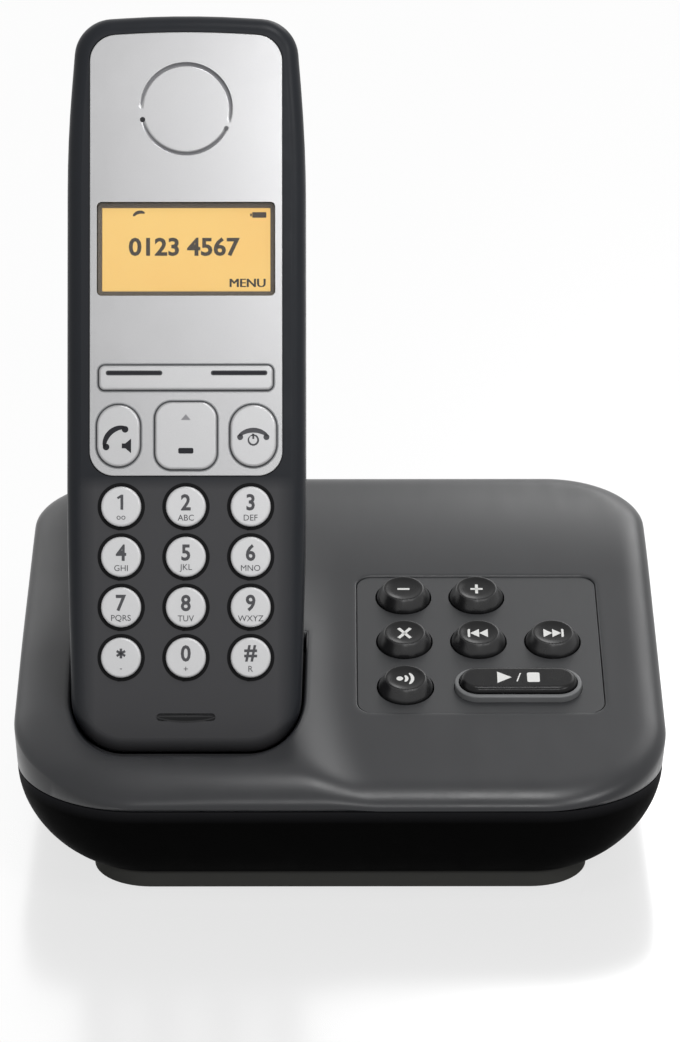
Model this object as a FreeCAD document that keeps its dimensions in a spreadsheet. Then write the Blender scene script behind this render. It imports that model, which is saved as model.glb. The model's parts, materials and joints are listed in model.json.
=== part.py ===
import FreeCAD, Part
import math
import os
import re
import Sketcher
from FreeCAD import Placement, Rotation, Vector

# Answering machine with a docked cordless handset. Millimetres, +Z up, +Y to the rear, origin on the
# resting plane under the middle of the base.

SIZES = (
    ("base_width", 134, "base, side to side"),
    ("base_depth", 118, "base, front to rear"),
    ("front_corner", 26, "plan radius of the base's front corners"),
    ("rear_corner", 21, "plan radius of the base's rear corners"),
    ("seam_height", 19.6, "height of the seam between the top and bottom covers"),
    ("front_height", 22.6, "height of the top slope at the front edge"),
    ("top_slope", 12.9, "slope of the top, degrees"),
    ("rear_slope", 5, "slope of the rear part of the top, degrees"),
    ("slope_break", 90, "depth at which the top slope flattens"),
    ("break_round", 140, "radius that blends the two slopes"),
    ("edge_round", 2.2, "radius of the top cover's upper edge"),
    ("pod_rise", 2, "height of the raised surround of the cradle above the slope"),
    ("pod_incline", 78, "lean of the surround's sides from square to the slope, degrees"),
    ("pod_reach", 36, "foot of the surround's right side from the handset's middle"),
    ("pod_front", 3, "front foot of the surround before the base's front edge"),
    ("pod_corner", 14, "plan radius of the surround's rear corners"),
    ("pod_sweep", 20, "plan radius of the surround's sweep"),
    ("pod_stop", 17, "front end of the surround's sweep from the base's right front corner"),
    ("pod_bend", 24, "where the sweep starts, up the slope"),
    ("pod_round", 14, "radius that blends the surround's edges"),
    ("pod_top", 86, "rear foot of the surround, up the slope"),
    ("cover_wall", 2.2, "wall of the covers"),
    ("bottom_inset", 0.5, "how far the bottom cover lies inside the top cover"),
    ("seam_gap", 0.2, "gap between two shells at a seam"),
    ("pedestal_width", 101, "pedestal under the base, side to side"),
    ("pedestal_depth", 109, "pedestal under the base, front to rear"),
    ("pedestal_corner", 12, "plan radius of the pedestal's corners"),
    ("pedestal_height", 4, "height of the pedestal's top above the resting plane"),
    ("foot_radius", 4.5, "radius of a rubber foot"),
    ("foot_proud", 0.6, "how far a foot stands out of the pedestal"),
    ("foot_sunk", 0.8, "depth of a foot's recess"),
    ("foot_inset", 11, "middle of a foot from the pedestal's edges"),
    ("handset_length", 151.5, "handset, bottom to top"),
    ("handset_width", 49, "handset, side to side"),
    ("handset_depth", 29.5, "handset, face to battery door"),
    ("handset_lean", 24.35, "lean of the docked handset, degrees from upright"),
    ("handset_inset", 35.45, "middle of the handset from the base's left side"),
    ("handset_setback", 18.6, "handset's bottom front edge behind the base's front"),
    ("handset_seat", 24, "height of the handset's bottom front edge"),
    ("handset_split", 13, "seam of the handset's shells behind its face"),
    ("bottom_depth", 25, "depth of the handset at its bottom end"),
    ("top_depth", 22.4, "depth of the handset at its top end"),
    ("side_taper", 1.2, "narrowing of each side towards the bottom end"),
    ("top_taper", 2, "narrowing of each side towards the top end"),
    ("bottom_corner", 11, "radius of the handset's bottom corners"),
    ("top_corner", 8, "radius of the handset's top corners"),
    ("crown_rise", 1.4, "rise of the arched top end"),
    ("crown_point", 0.4, "crown's corner above the arch that rounds it"),
    ("crown_sweep", 200, "radius of the arched top end"),
    ("waist_height", 45.5, "height of the sides' lower bend above the handset's bottom"),
    ("waist_sweep", 600, "radius of the sides' lower bend"),
    ("shoulder_fall", 25.8, "sides' upper bend below the handset's top"),
    ("shoulder_sweep", 260, "radius of the sides' upper bend"),
    ("heel_height", 25.8, "height at which the back starts to swell"),
    ("belly_low", 45.5, "lower end of the back's deepest part"),
    ("belly_high", 94, "upper end of the back's deepest part"),
    ("heel_sweep", 60, "radius of the back's lower bends"),
    ("belly_sweep", 90, "radius of the back's upper bend"),
    ("face_round", 3, "rounding of the handset's front edge"),
    ("back_round", 5, "rounding of the handset's rear edge"),
    ("face_wall", 3, "front wall of the handset's front shell"),
    ("side_wall", 3.4, "side wall of the handset's shells"),
    ("rear_wall", 2, "rear wall of the handset's rear shell"),
    ("hollow_corner", 5, "corner radius of the rear shell's hollows"),
    ("bay_wall", 5, "wall between the battery bay and the hollows"),
    ("bay_floor", 1.6, "floor of the battery bay"),
    ("cut_past", 20, "how far a cut runs past the piece that it opens"),
    ("well_gap", 0.8, "clearance around the handset in the cradle"),
    ("rest_gap", 0.3, "clearance under a resting piece"),
    ("cradle_wall", 1.8, "wall of the charging cradle"),
    ("fascia_width", 39.5, "silver fascia, side to side"),
    ("fascia_drop", 8.2, "bottom edge of the fascia below the middle of the talk key"),
    ("fascia_fall", 3.6, "top edge of the fascia below the handset's top"),
    ("fascia_thick", 1.2, "thickness of the fascia"),
    ("fascia_proud", 0.2, "how far the fascia stands out of the face"),
    ("fascia_top_corner", 5.5, "radius of the fascia's top corners"),
    ("fascia_low_corner", 5, "radius of the fascia's bottom corners"),
    ("fit_gap", 0.3, "clearance around keys and inlaid pieces"),
    ("key_gap", 0.2, "clearance between a key and the fascia"),
    ("snug_gap", 0.1, "clearance of a seated piece"),
    ("press_gap", 0.05, "play between a key, its mat and its switch"),
    ("trim_round", 0.15, "rounding of the fascia's edge"),
    ("sound_hole", 0.45, "radius of a sound hole"),
    ("part_space", 2, "space between neighbouring inner parts"),
    ("earpiece_rise", 28.8, "middle of the earpiece above the middle of the display window"),
    ("earpiece_radius", 9.65, "outer radius of the earpiece's ring"),
    ("earpiece_ring", 1, "width of the ring"),
    ("window_width", 36.6, "display window, side to side"),
    ("window_tall", 19.3, "display window, bottom to top"),
    ("window_rise", 26.5, "middle of the display window above the middle of the soft-key bar"),
    ("window_sunk", 0.5, "how far the window lies under the fascia"),
    ("window_thick", 0.8, "thickness of the window"),
    ("window_corner", 1, "corner radius of the window"),
    ("panel_width", 34.5, "display panel, side to side"),
    ("panel_tall", 17, "display panel, bottom to top"),
    ("panel_thick", 2, "thickness of the display panel"),
    ("rocker_rise", 11.9, "middle of the soft-key bar above the middle of the talk key"),
    ("rocker_width", 36, "soft-key bar, side to side"),
    ("rocker_tall", 5.4, "soft-key bar, bottom to top"),
    ("rocker_corner", 1.4, "corner radius of the soft-key bar"),
    ("rocker_flange", 8, "width of the soft-key bar's flange"),
    ("rocker_switch", 14.4, "soft-key bar's switches from its middle"),
    ("call_rise", 14.5, "middle of the talk, navigation and end keys above the highest number keys"),
    ("talk_width", 9.2, "talk key, side to side"),
    ("end_width", 9.8, "end key, side to side"),
    ("call_tall", 13, "talk and end keys, bottom to top"),
    ("call_spacing", 13.8, "talk and end keys from the middle"),
    ("nav_width", 13, "navigation key, side to side"),
    ("nav_tall", 14.2, "navigation key, bottom to top"),
    ("nav_corner", 3.6, "corner radius of the navigation key"),
    ("nav_flange", 4, "height of the navigation key's flange"),
    ("nav_switch", 4.3, "navigation key's switches from its middle"),
    ("key_radius", 4.1, "radius of a number key"),
    ("key_recess", 4.8, "radius of the recess around a number key"),
    ("recess_deep", 0.8, "depth of the recess around a number key"),
    ("key_round", 0.45, "rounding of a handset key's edge"),
    ("key_column", 13.25, "spacing of the number keys' columns"),
    ("key_row", 10.3, "spacing of the number keys' rows"),
    ("key_low_row", 19.4, "middle of the lowest number keys above the handset's bottom"),
    ("key_proud", 0.9, "how far a handset key stands out of the face"),
    ("flange_edge", 0.8, "how far a key's flange reaches past its cap"),
    ("flange_thick", 0.8, "thickness of a key's flange"),
    ("flange_inset", 1, "how much narrower a call key's flange is on each side"),
    ("key_travel", 0.8, "travel of a handset key"),
    ("mat_thick", 1.2, "thickness of a key mat"),
    ("mat_border", 2.5, "how far a key mat reaches past its keys"),
    ("dome_radius", 2.5, "radius of a dome switch"),
    ("dome_thick", 0.35, "height of a dome switch"),
    ("board_thick", 1.6, "thickness of a circuit board"),
    ("mic_height", 7.2, "middle of the microphone scoop above the handset's bottom"),
    ("mic_width", 12, "microphone scoop, side to side"),
    ("mic_tall", 1.6, "microphone scoop, bottom to top"),
    ("scoop_deep", 0.9, "depth of the microphone scoop"),
    ("capsule_radius", 3, "radius of the microphone"),
    ("capsule_thick", 2.5, "thickness of the microphone"),
    ("door_width", 30, "battery door, side to side"),
    ("door_low", 38, "battery door's bottom edge above the handset's bottom"),
    ("door_high", 94, "battery door's top edge above the handset's bottom"),
    ("door_thick", 1.6, "thickness of the battery door"),
    ("door_corner", 2, "corner radius of the battery door"),
    ("cell_radius", 5.25, "radius of a battery cell"),
    ("cell_length", 44.5, "length of a battery cell"),
    ("cell_spacing", 11.2, "spacing of the battery cells"),
    ("cell_gap", 0.5, "clearance around the battery cells"),
    ("cell_round", 0.5, "rounding of a battery cell's ends"),
    ("cell_tip", 1, "height of a battery cell's tip"),
    ("cell_tip_radius", 1.9, "radius of a battery cell's tip"),
    ("plate_size", 7, "side of a battery contact"),
    ("plate_deep", 2.2, "depth of a battery contact"),
    ("contact_across", 9, "charge contacts from the handset's middle"),
    ("contact_size", 4, "side of a charge contact"),
    ("contact_thick", 0.8, "thickness of a charge contact"),
    ("contact_deep", 4, "charge contacts behind the handset's seam"),
    ("speaker_small", 9, "radius of the handset's two speakers"),
    ("earpiece_thick", 4, "thickness of the earpiece speaker"),
    ("ringer_thick", 3.6, "thickness of the ringer speaker"),
    ("holder_tall", 3.6, "height of the charge pins' holder"),
    ("holder_deep", 7, "depth of the charge pins' holder"),
    ("holder_end", 4, "holder's ends past the charge pins"),
    ("antenna_tall", 5, "height of an antenna"),
    ("antenna_width", 16, "width of an antenna"),
    ("antenna_thick", 0.6, "thickness of an antenna"),
    ("pin_radius", 1.2, "radius of a charge pin"),
    ("pin_fit", 0.08, "running clearance around a charge pin"),
    ("pin_travel", 0.8, "travel of a charge pin"),
    ("field_width", 51.2, "key field on the base, side to side"),
    ("field_tall", 47.4, "key field on the base, along the slope"),
    ("field_shift", 2.1, "key field left of the middle between the cradle and the base's right side"),
    ("field_up", 51.8, "middle of the key field up the slope"),
    ("field_corner", 3.4, "radius of the key field's corners"),
    ("field_deep", 1.4, "depth of the key field's recess"),
    ("plate_thick", 1.1, "thickness of the key field's plate"),
    ("button_radius", 5.7, "radius of a base key at its foot"),
    ("button_top", 4.3, "radius of a base key's top"),
    ("button_proud", 2.3, "how far a base key stands out"),
    ("button_dish", 0.45, "depth of the dish in a base key"),
    ("button_round", 0.5, "rounding of a base key's edge"),
    ("button_foot", 0.2, "height at which a base key starts to narrow"),
    ("button_pitch", 15.6, "spacing of the base keys"),
    ("button_rise", 0.7, "middle row of base keys above the key field's middle"),
    ("button_travel", 0.8, "travel of a base key"),
    ("pill_length", 24.4, "play key, side to side"),
    ("pill_tall", 8, "play key, along the slope"),
    ("pill_round", 1.2, "rounding of the play key's edge"),
    ("ring_edge", 1, "width of the light ring around the play key"),
    ("ring_proud", 1.1, "how far the light ring stands out"),
    ("ring_round", 0.4, "rounding of the light ring's edge"),
    ("speaker_radius", 20, "radius of the loudspeaker"),
    ("speaker_tall", 7, "height of the loudspeaker"),
    ("speaker_across", 24, "middle of the loudspeaker right of the base's middle"),
    ("speaker_back", 4, "middle of the loudspeaker behind the base's middle"),
    ("grille_pitch", 4, "spacing of the grille's slots"),
    ("grille_slot", 1.8, "width of a grille slot"),
    ("grille_margin", 5, "grille's edge inside the loudspeaker's"),
    ("socket_width", 12, "rear socket's body, side to side"),
    ("socket_tall", 12, "rear socket's body, height"),
    ("socket_deep", 13, "rear socket's body, depth"),
    ("socket_mouth", 7.6, "rear socket's mouth, side to side"),
    ("socket_mouth_tall", 6.6, "rear socket's mouth, height"),
    ("mouth_lip", 0.8, "cover's opening past a rear socket's mouth"),
    ("mouth_corner", 0.5, "corner radius of the rear sockets"),
    ("socket_wall", 1.4, "rear socket's rear wall"),
    ("socket_height", 29, "middle of the rear sockets above the resting plane"),
    ("power_across", 12, "power socket right of the base's middle"),
    ("line_across", 32, "phone line socket right of the base's middle"),
    ("screw_radius", 1.3, "radius of a screw's shank"),
    ("screw_head", 2.4, "radius of a screw's head"),
    ("screw_fit", 0.1, "clearance around a screw's shank"),
    ("head_fit", 0.2, "clearance around a screw's head"),
    ("head_thick", 1.2, "thickness of a screw's head"),
    ("boss_radius", 3.4, "radius of a screw boss"),
    ("screw_length", 8.5, "length of a handset screw"),
    ("screw_sunk", 4.5, "handset screws' seats behind the seam"),
    ("screw_low", 15, "lower handset screws above the handset's bottom"),
    ("screw_fall", 33.3, "upper handset screws below the handset's top"),
    ("screw_inset", 8.3, "handset screws from the handset's sides"),
    ("base_screw_length", 12, "length of a base screw"),
    ("base_screw_sunk", 8, "base screws' seats below the seam"),
    ("base_screw_bite", 4.6, "depth of a base screw's bore in the top cover"),
    ("base_screw_side", 26.8, "outer base screws from the base's middle"),
    ("base_screw_space", 5, "front left base screw's boss from the cradle"),
    ("base_screw_front", 17.1, "front base screws behind the base's front"),
    ("base_screw_rear", 21.2, "rear base screws before the base's rear"),
)
SHEET_WORD = {alias: f"Sizes.{alias}" for alias, _, _ in SIZES}

doc = FreeCAD.newDocument("answering_machine")
sheet = doc.addObject("Spreadsheet::Sheet", "Sizes")
for row, (alias, plain_number, meaning) in enumerate(SIZES, start=1):
    sheet.set(f"A{row}", meaning)
    sheet.set(f"B{row}", str(plain_number))
    sheet.setAlias(f"B{row}", alias)
doc.recompute()

NODES = []

# ---------------------------------------------------------------- formulas


def bound(formula):
    """The formula with each size read from the sheet."""
    text = str(formula)
    return re.sub(r"[a-z]\w*", lambda hit: SHEET_WORD.get(hit.group(), hit.group()), text)


def number(formula):
    """The formula's present value."""
    value = sheet.evalExpression(bound(formula))
    return float(getattr(value, "Value", value))


def full_round(width):
    """The rounding that turns a bar's ends into half circles, with a trace of straight side left."""
    return f"(({width}) / 2 - press_gap)"


# ---------------------------------------------------------------- frames
# A frame is the tilt about the X axis and the origin of a group of pieces. In the handset's frame X runs
# across its face, Y up along it and Z out of the face. In the cradle's frame, at the same origin, Y runs
# from the handset's face to its back and Z up along it. In the slope's frame Z is the top slope's normal.

HANDSET_ACROSS = "(handset_inset - base_width / 2)"
FRAMES = {
    "world": ("0", "0", "0", "0"),
    "handset": ("90 - handset_lean", HANDSET_ACROSS, "handset_setback - base_depth / 2", "handset_seat"),
    "cradle": ("-handset_lean", HANDSET_ACROSS, "handset_setback - base_depth / 2", "handset_seat"),
    "slope": ("top_slope", "0", "-base_depth / 2", "front_height"),
}


def spot_in(frame, across, up, out):
    """World position, as formulas, of a point of a frame."""
    tilt, origin_x, origin_y, origin_z = FRAMES[frame]
    x = f"{origin_x} + ({across})"
    y = f"{origin_y} + ({up}) * cos({tilt}) - ({out}) * sin({tilt})"
    z = f"{origin_z} + ({up}) * sin({tilt}) + ({out}) * cos({tilt})"
    return x, y, z


def set_place(thing, slot, frame, across="0", up="0", out="0"):
    """Bind a placement to a point of a frame."""
    tilt = FRAMES[frame][0]
    setattr(thing, slot, Placement(Vector(0, 0, 0), Rotation(Vector(1, 0, 0), 10)))
    for letter, formula in zip("xyz", spot_in(frame, across, up, out)):
        thing.setExpression(f"{slot}.Base.{letter}", bound(formula))
    thing.setExpression(f"{slot}.Rotation.Angle", bound(tilt))


# ---------------------------------------------------------------- sketches and features


def new_body(label, frame="world", across="0", up="0", out="0"):
    body = doc.addObject("PartDesign::Body", label)
    set_place(body, "Placement", frame, across, up, out)
    return body


def draw_on(body, name, role="XY_Plane", lift="0", frame=None, across="0", up="0", out="0"):
    """A sketch on one of the body's own planes, lifted along its normal or tilted into a frame."""
    drawing = body.newObject("Sketcher::SketchObject", f"{body.Label}_{name}")
    plane = [item for item in body.Origin.OriginFeatures if item.Role == role][0]
    drawing.AttachmentSupport = [(plane, "")]
    drawing.MapMode = "FlatFace"
    if frame:
        set_place(drawing, "AttachmentOffset", frame, across, up, out)
    else:
        drawing.setExpression("AttachmentOffset.Base.z", bound(lift))
    return drawing


def fix_point(drawing, item, end, across, up):
    """Tie a point of the sketch to formulas for its two coordinates."""
    for kind, formula in (("DistanceX", across), ("DistanceY", up)):
        index = drawing.addConstraint(Sketcher.Constraint(kind, -1, 1, item, end, number(formula)))
        drawing.setExpression(f"Constraints[{index}]", bound(formula))


def circle(drawing, across, up, radius):
    middle = Vector(number(across), number(up), 0)
    item = drawing.addGeometry(Part.Circle(middle, Vector(0, 0, 1), number(radius)), False)
    index = drawing.addConstraint(Sketcher.Constraint("Radius", item, number(radius)))
    drawing.setExpression(f"Constraints[{index}]", bound(radius))
    fix_point(drawing, item, 3, across, up)


def corner_arc(before, here, after, radius):
    """Where a corner's rounding starts and ends, and its arc drawn anticlockwise."""
    to_before = (before - here).normalize()
    to_after = (after - here).normalize()
    half_turn = to_before.getAngle(to_after) / 2
    start = here + to_before * (radius / math.tan(half_turn))
    end = here + to_after * (radius / math.tan(half_turn))
    middle = here + (to_before + to_after).normalize() * (radius / math.sin(half_turn))
    turns_left = to_before.cross(to_after).z < 0
    first, last = (start, end) if turns_left else (end, start)
    first_angle = math.atan2(first.y - middle.y, first.x - middle.x)
    last_angle = math.atan2(last.y - middle.y, last.x - middle.x)
    ring = Part.Circle(middle, Vector(0, 0, 1), radius)
    return start, end, Part.ArcOfCircle(ring, first_angle, last_angle), turns_left


def outline(drawing, corners):
    """A closed outline of straight sides. A corner is (across, up) or (across, up, rounding)."""
    points = [Vector(number(corner[0]), number(corner[1]), 0) for corner in corners]
    count = len(corners)
    arrivals = list(points)
    leavings = list(points)
    arcs = {}
    for index, corner in enumerate(corners):
        if len(corner) == 3:
            after = points[(index + 1) % count]
            found = corner_arc(points[index - 1], points[index], after, number(corner[2]))
            arrivals[index], leavings[index], arc, turns_left = found
            arcs[index] = (drawing.addGeometry(arc, False), turns_left)
    sides = []
    for index in range(count):
        side = Part.LineSegment(leavings[index], arrivals[(index + 1) % count])
        sides.append(drawing.addGeometry(side, False))
    for index, corner in enumerate(corners):
        last_side = sides[index - 1]
        next_side = sides[index]
        if index not in arcs:
            drawing.addConstraint(Sketcher.Constraint("Coincident", last_side, 2, next_side, 1))
            fix_point(drawing, next_side, 1, corner[0], corner[1])
            continue
        arc, turns_left = arcs[index]
        first_end, second_end = (1, 2) if turns_left else (2, 1)
        tip = drawing.addGeometry(Part.Point(points[index]), True)
        drawing.addConstraint(Sketcher.Constraint("Tangent", last_side, 2, arc, first_end))
        drawing.addConstraint(Sketcher.Constraint("Tangent", next_side, 1, arc, second_end))
        drawing.addConstraint(Sketcher.Constraint("PointOnObject", tip, 1, last_side))
        drawing.addConstraint(Sketcher.Constraint("PointOnObject", tip, 1, next_side))
        limit = drawing.addConstraint(Sketcher.Constraint("Radius", arc, number(corner[2])))
        drawing.setExpression(f"Constraints[{limit}]", bound(corner[2]))
        fix_point(drawing, tip, 1, corner[0], corner[1])


def panel(drawing, across, up, width, tall, rounding=None):
    """A rectangle by its middle and size, with rounded corners if asked."""
    extra = (rounding,) if rounding else ()
    left = f"({across}) - ({width}) / 2"
    right = f"({across}) + ({width}) / 2"
    low = f"({up}) - ({tall}) / 2"
    high = f"({up}) + ({tall}) / 2"
    outline(drawing, [(left, low) + extra, (right, low) + extra, (right, high) + extra, (left, high) + extra])


def checked(body, feature, grows):
    """Recompute, and make sure that the feature added or took away material."""
    before = body.Shape.Volume if body.Shape.Faces else 0
    doc.recompute()
    change = body.Shape.Volume - before
    if (change <= 0) == grows:
        raise RuntimeError(f"{feature.Name} changes {body.Label} by {change:.3f} mm3")
    return feature


def extrude(body, kind, drawing, length, reverse=False, symmetric=False):
    feature = body.newObject(f"PartDesign::{kind}", drawing.Name + "_" + kind.lower())
    feature.Profile = drawing
    feature.setExpression("Length", bound(length))
    feature.Reversed = reverse
    if symmetric:
        feature.SideType = "Symmetric"
    return feature


def pad(body, drawing, length, reverse=False, symmetric=False):
    return checked(body, extrude(body, "Pad", drawing, length, reverse, symmetric), True)


def pocket(body, drawing, length, reverse=False, symmetric=False):
    return checked(body, extrude(body, "Pocket", drawing, length, reverse, symmetric), False)


def revolve(body, drawing):
    """Turn a profile about the sketch's upright axis."""
    feature = body.newObject("PartDesign::Revolution", drawing.Name + "_turned")
    feature.Profile = drawing
    feature.ReferenceAxis = (drawing, ["V_Axis"])
    feature.Angle = 360
    return checked(body, feature, True)


def round_edges(body, radius, chosen):
    """Fillet the edges that pass a test, given as a function of the edge."""
    last = body.Tip
    names = [f"Edge{index}" for index, edge in enumerate(last.Shape.Edges, start=1) if chosen(edge)]
    feature = body.newObject("PartDesign::Fillet", f"{body.Label}_round_{len(body.Group)}")
    feature.Base = (last, names)
    feature.setExpression("Radius", bound(radius))
    doc.recompute()
    if not feature.isValid():
        raise RuntimeError(f"{feature.Name} can't round its {len(names)} edges")
    return feature


def at_level(level):
    """A test for edges that lie in a plane of constant Z of the body."""
    return lambda edge: abs(edge.BoundBox.ZMin - level) < 1e-4 and abs(edge.BoundBox.ZMax - level) < 1e-4


def node(thing, label=None):
    """Register a finished piece under its own name."""
    thing.Label = label or thing.Label
    NODES.append(thing)
    return thing


# ---------------------------------------------------------------- primitives


def cylinder(name, radius, tall, frame="world", across="0", up="0", out="0"):
    """A round bar along the frame's Z axis from a point."""
    thing = doc.addObject("Part::Cylinder", name)
    thing.setExpression("Radius", bound(radius))
    thing.setExpression("Height", bound(tall))
    set_place(thing, "Placement", frame, across, up, out)
    return thing


def block(name, width, tall, thick, frame="world", across="0", up="0", out="0"):
    """A box by the middle of its low-Z face: width along X, tall along Y, thick along Z."""
    thing = doc.addObject("Part::Box", name)
    thing.setExpression("Length", bound(width))
    thing.setExpression("Width", bound(tall))
    thing.setExpression("Height", bound(thick))
    set_place(thing, "Placement", frame, f"({across}) - ({width}) / 2", f"({up}) - ({tall}) / 2", out)
    return thing


def cut(name, base, tool):
    thing = doc.addObject("Part::Cut", name)
    thing.Base = base
    thing.Tool = tool
    return thing


def common(name, first, second):
    thing = doc.addObject("Part::MultiCommon", name)
    thing.Shapes = [first, second]
    return thing


def fuse(name, things):
    thing = doc.addObject("Part::MultiFuse", name)
    thing.Shapes = things
    return thing


def group(name, things):
    """Like pieces that share one node as separate solids."""
    thing = doc.addObject("Part::Compound", name)
    thing.Links = things
    return thing


# ---------------------------------------------------------------- shared outlines


def mirrored(right_side):
    """A closed outline from its right half, listed from the bottom up; a corner on the axis stays single."""
    left_side = [(f"-({corner[0]})",) + tuple(corner[1:]) for corner in right_side if corner[0] != "0"]
    return list(right_side) + left_side[::-1]


TOP_LINE = 3
CALL_HEIGHT = f"(key_low_row + {TOP_LINE} * key_row + call_rise)"
ROCKER_HEIGHT = f"({CALL_HEIGHT} + rocker_rise)"
WINDOW_HEIGHT = f"({ROCKER_HEIGHT} + window_rise)"
EARPIECE_HEIGHT = f"({WINDOW_HEIGHT} + earpiece_rise)"
FASCIA_LOW = f"({CALL_HEIGHT} - fascia_drop)"
FASCIA_HIGH = "(handset_length - fascia_fall)"


def handset_outline(inset="0", low=None):
    """The handset seen from the front, drawn in by an inset, with its bottom edge at a level."""
    half = f"handset_width / 2 - ({inset})"
    crown = f"handset_length + crown_point - ({inset})"
    return mirrored([
        (f"{half} - side_taper", low or inset, f"bottom_corner - ({inset})"),
        (half, "waist_height", "waist_sweep"),
        (half, "handset_length - shoulder_fall", "shoulder_sweep"),
        (f"{half} - top_taper", f"{crown} - crown_rise", f"top_corner - ({inset})"),
        ("0", crown, "crown_sweep"),
    ])


def fascia_outline(grow="0"):
    """The silver fascia seen from the front, drawn out by a clearance."""
    half = f"fascia_width / 2 + ({grow})"
    crown = f"{FASCIA_HIGH} + crown_point + ({grow})"
    return mirrored([
        (half, f"{FASCIA_LOW} - ({grow})", "fascia_low_corner"),
        (half, f"{crown} - crown_rise", "fascia_top_corner"),
        ("0", crown, "crown_sweep"),
    ])


def base_outline(inset="0"):
    """The base seen from above, drawn in by an inset."""
    half = f"base_width / 2 - ({inset})"
    front = f"-base_depth / 2 + ({inset})"
    rear = f"base_depth / 2 - ({inset})"
    return mirrored([
        (half, front, f"front_corner - ({inset})"),
        (half, rear, f"rear_corner - ({inset})"),
    ])


WELL_BACK = "(bottom_depth + 2 * well_gap)"
WELL_FLOOR = "(-rest_gap)"
SPLIT_IN = "-handset_split"
INNER_FACE = "-face_wall"
FLANGE_TOP = f"{INNER_FACE} - fit_gap"
FLANGE_FOOT = f"{FLANGE_TOP} - flange_thick"
MAT_TOP = f"{FLANGE_FOOT} - key_travel - press_gap"
MAT_FOOT = f"{MAT_TOP} - mat_thick"
DOME_FOOT = f"{MAT_FOOT} - dome_thick"
BOARD_FOOT = f"{DOME_FOOT} - board_thick"
NUMBER_KEYS = (
    ("key_1", -1, TOP_LINE), ("key_2", 0, TOP_LINE), ("key_3", 1, TOP_LINE),
    ("key_4", -1, 2), ("key_5", 0, 2), ("key_6", 1, 2),
    ("key_7", -1, 1), ("key_8", 0, 1), ("key_9", 1, 1),
    ("key_star", -1, 0), ("key_0", 0, 0), ("key_hash", 1, 0),
)
CALL_KEYS = (
    ("talk_key", "-call_spacing", "talk_width"),
    ("end_key", "call_spacing", "end_width"),
)


def key_spot(column, line):
    return f"key_column * ({column})", f"key_low_row + key_row * {line}"


def face_openings(drawing, grow):
    """The openings of the display, soft-key bar, talk, navigation and end keys."""
    wider = f"2 * ({grow})"
    panel(drawing, "0", WINDOW_HEIGHT, f"window_width + {wider}", f"window_tall + {wider}", "window_corner")
    panel(drawing, "0", ROCKER_HEIGHT, f"rocker_width + {wider}", f"rocker_tall + {wider}", "rocker_corner")
    panel(drawing, "0", CALL_HEIGHT, f"nav_width + {wider}", f"nav_tall + {wider}", "nav_corner")
    for label, across, width in CALL_KEYS:
        wide = f"{width} + {wider}"
        panel(drawing, across, CALL_HEIGHT, wide, f"call_tall + {wider}", full_round(wide))


# ---------------------------------------------------------------- handset shells


def back_profile():
    """The space behind the handset's back, seen from the side: (up, out) points."""
    far = "-handset_depth - cut_past"
    incline = "(handset_depth - top_depth) / (handset_length - belly_high)"
    return [
        ("-cut_past", "-bottom_depth"),
        ("heel_height", "-bottom_depth", "heel_sweep"),
        ("belly_low", "-handset_depth", "heel_sweep"),
        ("belly_high", "-handset_depth", "belly_sweep"),
        ("handset_length + cut_past", f"-top_depth + cut_past * {incline}"),
        ("handset_length + cut_past", far),
        ("-cut_past", far),
    ]


def shape_back(body):
    profile = draw_on(body, "back_profile", "YZ_Plane")
    outline(profile, back_profile())
    pocket(body, profile, "handset_width + cut_past", symmetric=True)


def make_front_shell():
    body = new_body("handset_front_shell", "handset")
    face = draw_on(body, "face")
    outline(face, handset_outline())
    pad(body, face, "handset_split - seam_gap / 2", reverse=True)
    round_edges(body, "face_round", at_level(0))
    hollow = draw_on(body, "hollow", lift=f"{SPLIT_IN} + seam_gap / 2")
    outline(hollow, handset_outline("side_wall"))
    pocket(body, hollow, "handset_split - seam_gap / 2 - face_wall", reverse=True)
    recess = draw_on(body, "fascia_recess")
    outline(recess, fascia_outline("fit_gap / 2"))
    pocket(body, recess, "fascia_thick")
    openings = draw_on(body, "openings")
    face_openings(openings, "fit_gap")
    pocket(body, openings, "face_wall + cut_past")
    recesses = draw_on(body, "key_recesses")
    holes = draw_on(body, "key_holes")
    for label, column, line in NUMBER_KEYS:
        across, up = key_spot(column, line)
        circle(recesses, across, up, "key_recess")
        circle(holes, across, up, "key_radius + fit_gap")
    pocket(body, recesses, "recess_deep")
    pocket(body, holes, "face_wall + cut_past")
    sound = draw_on(body, "sound_holes")
    for turn in range(0, 360, 45):
        ring = "(earpiece_radius - earpiece_ring / 2)"
        circle(sound, f"{ring} * cos({turn})", f"{EARPIECE_HEIGHT} + {ring} * sin({turn})", "sound_hole")
    circle(sound, "0", "mic_height", "sound_hole")
    pocket(body, sound, "face_wall + cut_past")
    scoop = draw_on(body, "mic_scoop")
    panel(scoop, "0", "mic_height", "mic_width", "mic_tall", full_round("mic_tall"))
    pocket(body, scoop, "scoop_deep")
    return node(body)


SCREW_SPOTS = [(side, up) for side in ("-1", "1") for up in ("screw_low", "handset_length - screw_fall")]
SCREW_ACROSS = "(handset_width / 2 - screw_inset)"
SCREW_SEAT = "-handset_split - screw_sunk"
DOOR_MIDDLE = "(door_low + door_high) / 2"
DOOR_TALL = "(door_high - door_low)"
CONTACT_OUT = "-handset_split - contact_deep"


def screw_circles(body, name, lift, radius):
    """One circle at each of the handset's screws."""
    drawing = draw_on(body, name, lift=lift)
    for side, up in SCREW_SPOTS:
        circle(drawing, f"{side} * {SCREW_ACROSS}", up, radius)
    return drawing


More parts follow.
